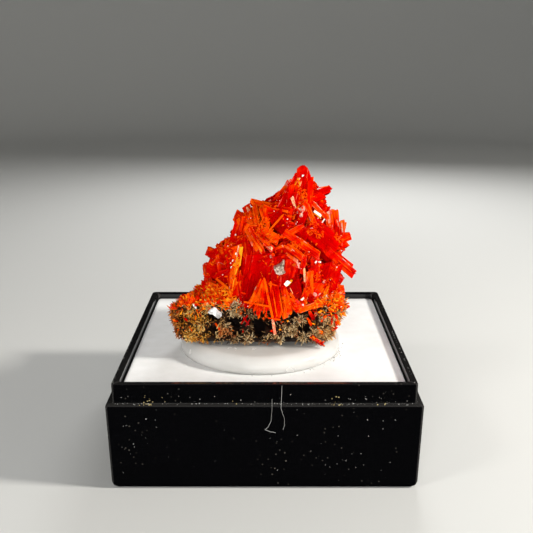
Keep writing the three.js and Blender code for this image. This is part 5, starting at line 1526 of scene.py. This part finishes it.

# %% [markdown]
# Small crystals and grains have grown on the large ones, thickly in some places and not at all on the
# smooth faces. Each is seated on a real face: a ray is cast at the mound, and where it lands there is a
# point and the direction that the face looks in. A few are tiny near-white specks: painted glints.

# %% Small growth seated on the mound's real faces
mound_skin = BVHTree.FromPolygons(mound.points, mound.faces)
slab_start = len(mound.points)
whole_faces = mound.faces + [[slab_start + i for i in face] for face in slab_faces]
whole_skin = BVHTree.FromPolygons(mound.points + slab_points, whole_faces)
# Places on the front where small grains lie thickly: across, height, radius, and the tones' range.
ROUGH_PLACES = [
    (4, 16.6, 0.54, 0.5, 0.72), (4.2, 15.7, 0.54, 0.5, 0.72), (3.5, 17.7, 0.32, 0.5, 1.2),
    (-0.3, 13.1, 0.86, 0.5, 0.72), (-1.6, 13.5, 0.64, 0.5, 0.72), (-2, 11.7, 0.54, 0.5, 0.7),
    (0.8, 11.6, 0.64, 0.5, 0.72), (-0.3, 11.2, 0.54, 0.5, 0.72), (5, 12.6, 0.75, 0.5, 0.72),
    (5.9, 11.9, 0.54, 0.5, 0.72), (3.5, 10.5, 0.64, 0.5, 0.74), (4.5, 9.7, 0.54, 0.5, 0.74),
    (-2.9, 11.6, 0.43, 0.5, 0.72), (-3.8, 10.5, 0.54, 0.55, 0.78), (-4.9, 10.5, 0.43, 0.55, 0.8),
    (-5.5, 8.7, 0.43, 0.5, 0.7), (-6.4, 7.2, 0.43, 0.5, 0.72), (8.1, 11.6, 0.54, 0.5, 0.72),
    (8.6, 10.1, 0.43, 0.5, 0.7), (7.1, 6.4, 0.54, 0.4, 0.62), (5.8, 7.2, 0.54, 0.4, 0.64),
    (4.8, 5.6, 0.54, 0.5, 0.7), (-0.3, 9.2, 0.32, 0.5, 0.7), (2.2, 4.4, 0.54, 0.5, 0.72),
    (5.7, 8.5, 0.43, 0.4, 0.62), (7.7, 8.3, 0.43, 0.45, 0.65), (-2.9, 9.4, 0.32, 0.35, 1),
    (-3.1, 8.3, 0.32, 0.35, 1), (-3.3, 6.9, 0.43, 0.4, 0.8), (-3.6, 5.6, 0.32, 0.45, 0.75),
    (3.5, 3.7, 0.43, 0.55, 0.8), (4.5, 4.4, 0.54, 0.55, 0.85), (-9.1, 3.9, 0.32, 0.5, 1.1),
    (-8.3, 4.3, 0.54, 0.55, 1.3), (-7.4, 4.7, 0.64, 0.6, 1.3), (-6.4, 5.1, 0.75, 0.6, 1.3),
    (-5.3, 5.4, 0.75, 0.6, 1.25), (-4.3, 5.1, 0.75, 0.6, 1.3), (-3.5, 4.7, 0.54, 0.6, 1.2),
    (-6.8, 4.1, 0.43, 0.7, 1.4), (-5.7, 4.1, 0.43, 0.7, 1.4), (-4.5, 4, 0.43, 0.7, 1.4),
    (-6, 5.9, 0.54, 0.55, 1), (6.6, 4.3, 0.54, 0.6, 1.1), (7.5, 4, 0.54, 0.6, 1.15),
    (8.2, 4.7, 0.43, 0.6, 1.1), (5.6, 4, 0.43, 0.6, 1.1), (8, 3.1, 0.32, 0.55, 1),
    (7.8, 1.8, 0.32, 0.5, 0.75), (7.3, 4.9, 0.54, 0.55, 0.8),
]
print("rough places:", len(ROUGH_PLACES))

# %% One grain, and the growth all round
GROWTH_COUNT = 2600
GLINT_COUNT = 110
ROUGH_GRAINS_PER_MM2 = 33


def grain_on(gather, seat, normal, next_number, longest, tones, frost=0.0):
    """One small crystal that lies on a face or leans out of it."""
    jitter = Vector((next_number() - 0.5, next_number() - 0.5, next_number() - 0.5))
    lean = (normal * between(0.0, 0.55, next_number()) + jitter * 2.0).normalized()
    size = between(0.07, 0.26, next_number() ** 1.7)
    tip = seat + lean * between(0.2, longest, next_number() ** 1.6)
    end = ENDS[int(next_number() * 4)]
    tone = between(*tones, next_number())
    roll = 90 * next_number()
    root = seat - normal * 0.06
    add_crystal(gather, root, tip, size, size * 0.8, roll, end, tone, frost, next_number, False)


growth = Gather("tone", "edge", "frost", "grain")
following = number_run(1234)
for number in range(GROWTH_COUNT + GLINT_COUNT):
    turn = 2 * math.pi * following()
    height = between(3.4, 17.2, following() ** 1.15)
    outside, inside = mound_point(turn, height, 1.7), mound_point(turn, height, 0.0)
    seat, normal, _, _ = mound_skin.ray_cast(outside, inside - outside)
    # Seats far out belong to the free ends of the large crystals, which stay clean.
    if seat is None or outness(seat) > 1.02 or (is_bare(seat) and following() < 0.85):
        continue
    # So do most side faces, the outline and the top, and the back has less growth than the front.
    if abs(normal.y) < 0.35 and following() < 0.8:
        continue
    if near_outline(seat) and following() < 0.93 + 0.07 * (height > 11):
        continue
    if seat.y > MOUND_CENTRE_Y + 1 and following() < 0.4:
        continue
    if height > 15.8 or (height > 15 and abs(normal.y) < 0.75):
        continue
    if number < GROWTH_COUNT:
        grain_on(growth, seat, normal, following, 0.8, (0.35, 0.8))
    else:
        # A tiny near-white speck: a painted glint.
        size = between(0.06, 0.13, following())
        glint = (seat - normal * 0.03, seat + normal * size, size, size, 0, "flat", 0.7, 1.4)
        add_crystal(growth, *glint, following, False)
for x, level, radius, low_tone, high_tone in ROUGH_PLACES:
    for _ in range(int(ROUGH_GRAINS_PER_MM2 * math.pi * radius**2)):
        turn, reach = 2 * math.pi * following(), radius * following() ** 0.6
        aim = Vector((x + reach * math.cos(turn), -6, level + reach * math.sin(turn))) + LIFT
        seat, normal, _, _ = whole_skin.ray_cast(aim - VIEWED_ALONG * 10, VIEWED_ALONG)
        if seat is not None and seat.y < MOUND_CENTRE_Y + 2 and seat.z > SPECIMEN_BASE + 2.5:
            # About one grain in seventy is painted near white, as a glint.
            frost = 1.4 * (following() > 0.985)
            longest = 1.0 if high_tone > 1 else 0.5
            grain_on(growth, seat, normal, following, longest, (low_tone, high_tone), frost)
make_piece("crocoite_small_growth", growth, crocoite.material, ["crocoite_crystals"])

# %% [markdown]
# ## Small growths and grains
# A crust of little orange crystals creeps over both ends of the matrix, one splinter sticks out under its
# right end, and two grains of other minerals show: a beige one in a hollow of the mound, and a white flake.

# %% The crust on the matrix's top and ends
CRUST_COUNT = 4200
crust = Gather("tone", "edge", "frost", "grain")
following = number_run(515)
open_top = (face_normals[:, 2] > -0.35) & (face_centres[:, 2] > 1.2)
crust_faces = np.nonzero(open_top & (face_cavity < 0.5) & ~covered)[0]
for _ in range(CRUST_COUNT):
    face = crust_faces[int(following() * len(crust_faces))]
    middle, normal = Vector(face_centres[face]), Vector(face_normals[face]).normalized()
    # Densest on the left part of the top and near the right end's top; thin on the sides.
    high = min(1.0, max(0.0, middle.z - 3.0) / 0.9)
    left_top = min(1.0, max(0.0, -middle.x - 3.0)) * min(1.0, max(0.0, normal.z + 0.1) * 3 + 0.25) * high
    right_top = min(1.0, max(0.0, middle.x - 4.8) / 1.2) * min(1.0, max(0.0, middle.z - 1.8) / 1.5) * 0.8
    rest_top = 0.35 * max(0.0, normal.z)
    if following() > max(left_top, right_top, rest_top, 0.03 * (middle.x > 4)):
        continue
    jitter = Vector((following() - 0.5, following() - 0.5, following() - 0.5))
    lean = (normal * between(0.2, 0.9, following()) + jitter * 2.0).normalized()
    root = middle - normal * 0.15 + LIFT
    tip = root + lean * between(0.4, 1.2, following() ** 1.5)
    if min(root.z, tip.z) < SPECIMEN_BASE + 0.4:
        continue
    size = between(0.1, 0.34, following() ** 1.8)
    tone = between(0.42, 1.05, following()) - 0.45 * (following() > 0.72)
    # About one crystal in seventy is painted near white, as a glint.
    frost = 1.4 * (following() > 0.985)
    end = ENDS[int(following() * 4)]
    add_crystal(crust, root, tip, size, size * 0.8, 90 * following(), end, tone, frost, following, False)
make_piece("crocoite_crust", crust, crocoite.material, ["crocoite_crystals"])

# %% Tufts at both ends, and the splinter
def tuft(name, node, root, lean, count, length, width, spread, seed, extra, shorter):
    """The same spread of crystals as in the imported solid, and some smaller ones between them."""
    next_number = number_run(seed)
    fine = number_run(seed + 1000)
    gather = Gather("tone", "edge", "frost", "grain")
    middle = Vector(lean).normalized()
    root = Vector(root)
    for i in range(count + extra):
        run = next_number if i < count else fine
        jitter = Vector((run() - 0.5, run() - 0.5, run() - 0.5)) * spread
        reach = between(0.75, 1.15, run()) * length * (1 if i < count else 0.8) * shorter
        tip = root + (middle + jitter).normalized() * reach
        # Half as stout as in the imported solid, and the extra ones thinner still.
        size = 0.5 * between(0.75, 1.2, run()) * width * (1 if i < count else 0.55)
        roll = 60 * run()
        tone = between(0.5, 0.95, fine())
        add_crystal(gather, root + LIFT, tip + LIFT, size, size * 0.7, roll, "chisel", tone, 0.05, fine)
    make_piece(name, gather, crocoite.material, [node])


tuft(
    "left_end_growth", "left_end_crystals", root=(-8, -5.8, 3.9), lean=(-0.4, -0.5, 1), count=5,
    length=1.8, width=0.85, spread=2, seed=41, extra=16, shorter=0.85)
tuft(
    "right_end_growth", "right_end_crystals", root=(7.7, -5.2, 3.4), lean=(1, -0.7, 0.3), count=5,
    length=1.8, width=0.9, spread=1.7, seed=52, extra=16, shorter=0.66)

# Foot, tip, width, thickness, roll, kind of end, tone and frost of the splinter's two crystals.
SPLINTER_CRYSTALS = [
    # The first crystal's deepest red is painted shade, where it lies under the matrix.
    ((5.0, -8, 0.9), (6.5, -8.2, -0.12), 0.5, 0.4, 75, "chisel", 0.0, 0.0),
    ((5.1, -8.05, 1), (6.0, -8.4, 0.35), 0.3, 0.25, 40, "point", 0.42, 0.0),
]
SPLINTER_GRAINS = 14
splinter = Gather("tone", "edge", "frost", "grain")
for foot, tip, *shape in SPLINTER_CRYSTALS:
    add_crystal(splinter, Vector(foot) + LIFT, Vector(tip) + LIFT, *shape, detail)
for _ in range(SPLINTER_GRAINS):
    at = Vector((between(5, 6.4, detail()), between(-8.5, -7.9, detail()), 0))
    at.z = 0.95 - 0.62 * (at.x - 5) + 0.25 * (detail() - 0.5)
    grain_on(splinter, at + LIFT, Vector((0, -0.8, 0.6)), detail, 0.4, (0.5, 1.0))
make_piece("front_splinter_crystal", splinter, crocoite.material, ["front_splinter"])

# %% [markdown]
# Two grains of other minerals are broken pieces with a sharp outline. Each is its given outline, swept
# from back to front like the box's stack of rings, with the rings of its face jolted at random, so that
# the face is chipped and faceted.

# %% Grains of other minerals
# Outlines are (across, up), in the frame's millimetres.
BEIGE_OUTLINE = [
    (0.93, 21.24), (1.41, 21.45), (1.66, 21.56), (1.84, 21.72), (1.93, 22.0), (2.1, 21.94), (2.06, 21.43),
    (1.98, 21.08), (2.19, 20.66), (1.87, 20.52), (1.53, 20.42), (1.2, 20.6), (1.04, 20.94),
]
FLAKE_OUTLINE = [
    (-6.08, 16.65), (-5.86, 16.94), (-5.42, 17.19), (-5.18, 17.09), (-4.95, 16.75), (-4.6, 16.5),
    (-4.61, 16.22), (-4.78, 16.07), (-4.97, 15.96), (-5.32, 16.22), (-5.55, 16.43), (-5.85, 16.49),
]
OUTLINE_STEPS = 4
# Rings from back to front: scale, share of the depth, how chipped.
GRAIN_RINGS = [
    (0.3, 1.0, 0.0), (0.85, 0.95, 0.1), (1.0, 0.6, 0.1), (1.0, 0.12, 0.05), (0.93, 0.03, 0.1),
    (0.7, 0.04, 0.3), (0.48, 0.02, 0.35), (0.25, 0.06, 0.3), (0.1, 0.04, 0.2),
]


def mineral_grain(name, node, material, outline, front, back, seed):
    """A broken grain: its outline swept from back to front, with a chipped, faceted face."""
    run = number_run(seed)
    border = []
    for (a, b), (c, d) in zip(outline, outline[1:] + outline[:1]):
        for step in range(OUTLINE_STEPS):
            share = step / OUTLINE_STEPS
            border.append((between(a, c, share), between(b, d, share)))
    middle_x = sum(x for x, _ in border) / len(border)
    middle_z = sum(z for _, z in border) / len(border)
    gather = Gather("tone")
    rings = []
    for scale, share, chips in GRAIN_RINGS:
        ring = []
        for x, z in border:
            depth = between(front, back, share) + chips * (run() - 0.5) * 0.3
            wobble = 1 + chips * 0.12 * (run() - 0.5)
            ring_x = middle_x + (x - middle_x) * scale * wobble
            ring_z = middle_z + (z - middle_z) * scale * wobble
            ring.append([ring_x, depth, ring_z])
        rings.append(ring)
    points = [p for ring in rings for p in ring]
    gather.add(points, stack_faces(len(rings), len(border)), tone=[run() for _ in points])
    make_piece(name, gather, material, [node])


# %% The beige grain and the white flake
pale_mineral = Finish("pale_mineral", Roughness=0.35, IOR=1.6)
place = pale_mineral.place()
mottle = pale_mineral.noise(place, 4600.0, 3.0, 0.7)
pale_mineral.to_shader("Base Color", pale_mineral.ramp(
    mottle, (0.38, (0.1, 0.05, 0.03)), (0.47, (0.36, 0.26, 0.19)), (0.6, (0.66, 0.54, 0.45))))
pale_mineral.bump(mottle, 0.6, 0.08)
mineral_grain(
    "beige_grain", "grey_grain", pale_mineral.material, BEIGE_OUTLINE,
    front=-7.3, back=-5.9, seed=81)

white_mineral = Finish("white_mineral", Roughness=0.25, IOR=1.6)
place = white_mineral.place()
mottle = white_mineral.noise(place, 2000.0, 3.0, 0.6)
white_mineral.to_shader("Base Color", white_mineral.ramp(
    mottle, (0.38, (0.3, 0.28, 0.27)), (0.5, (0.62, 0.6, 0.59)), (0.62, (0.9, 0.89, 0.88))))
white_mineral.bump(mottle, 0.6, 0.06)
mineral_grain(
    "white_mineral_flake", "white_flake", white_mineral.material, FLAKE_OUTLINE,
    front=-8.45, back=-7.75, seed=92)
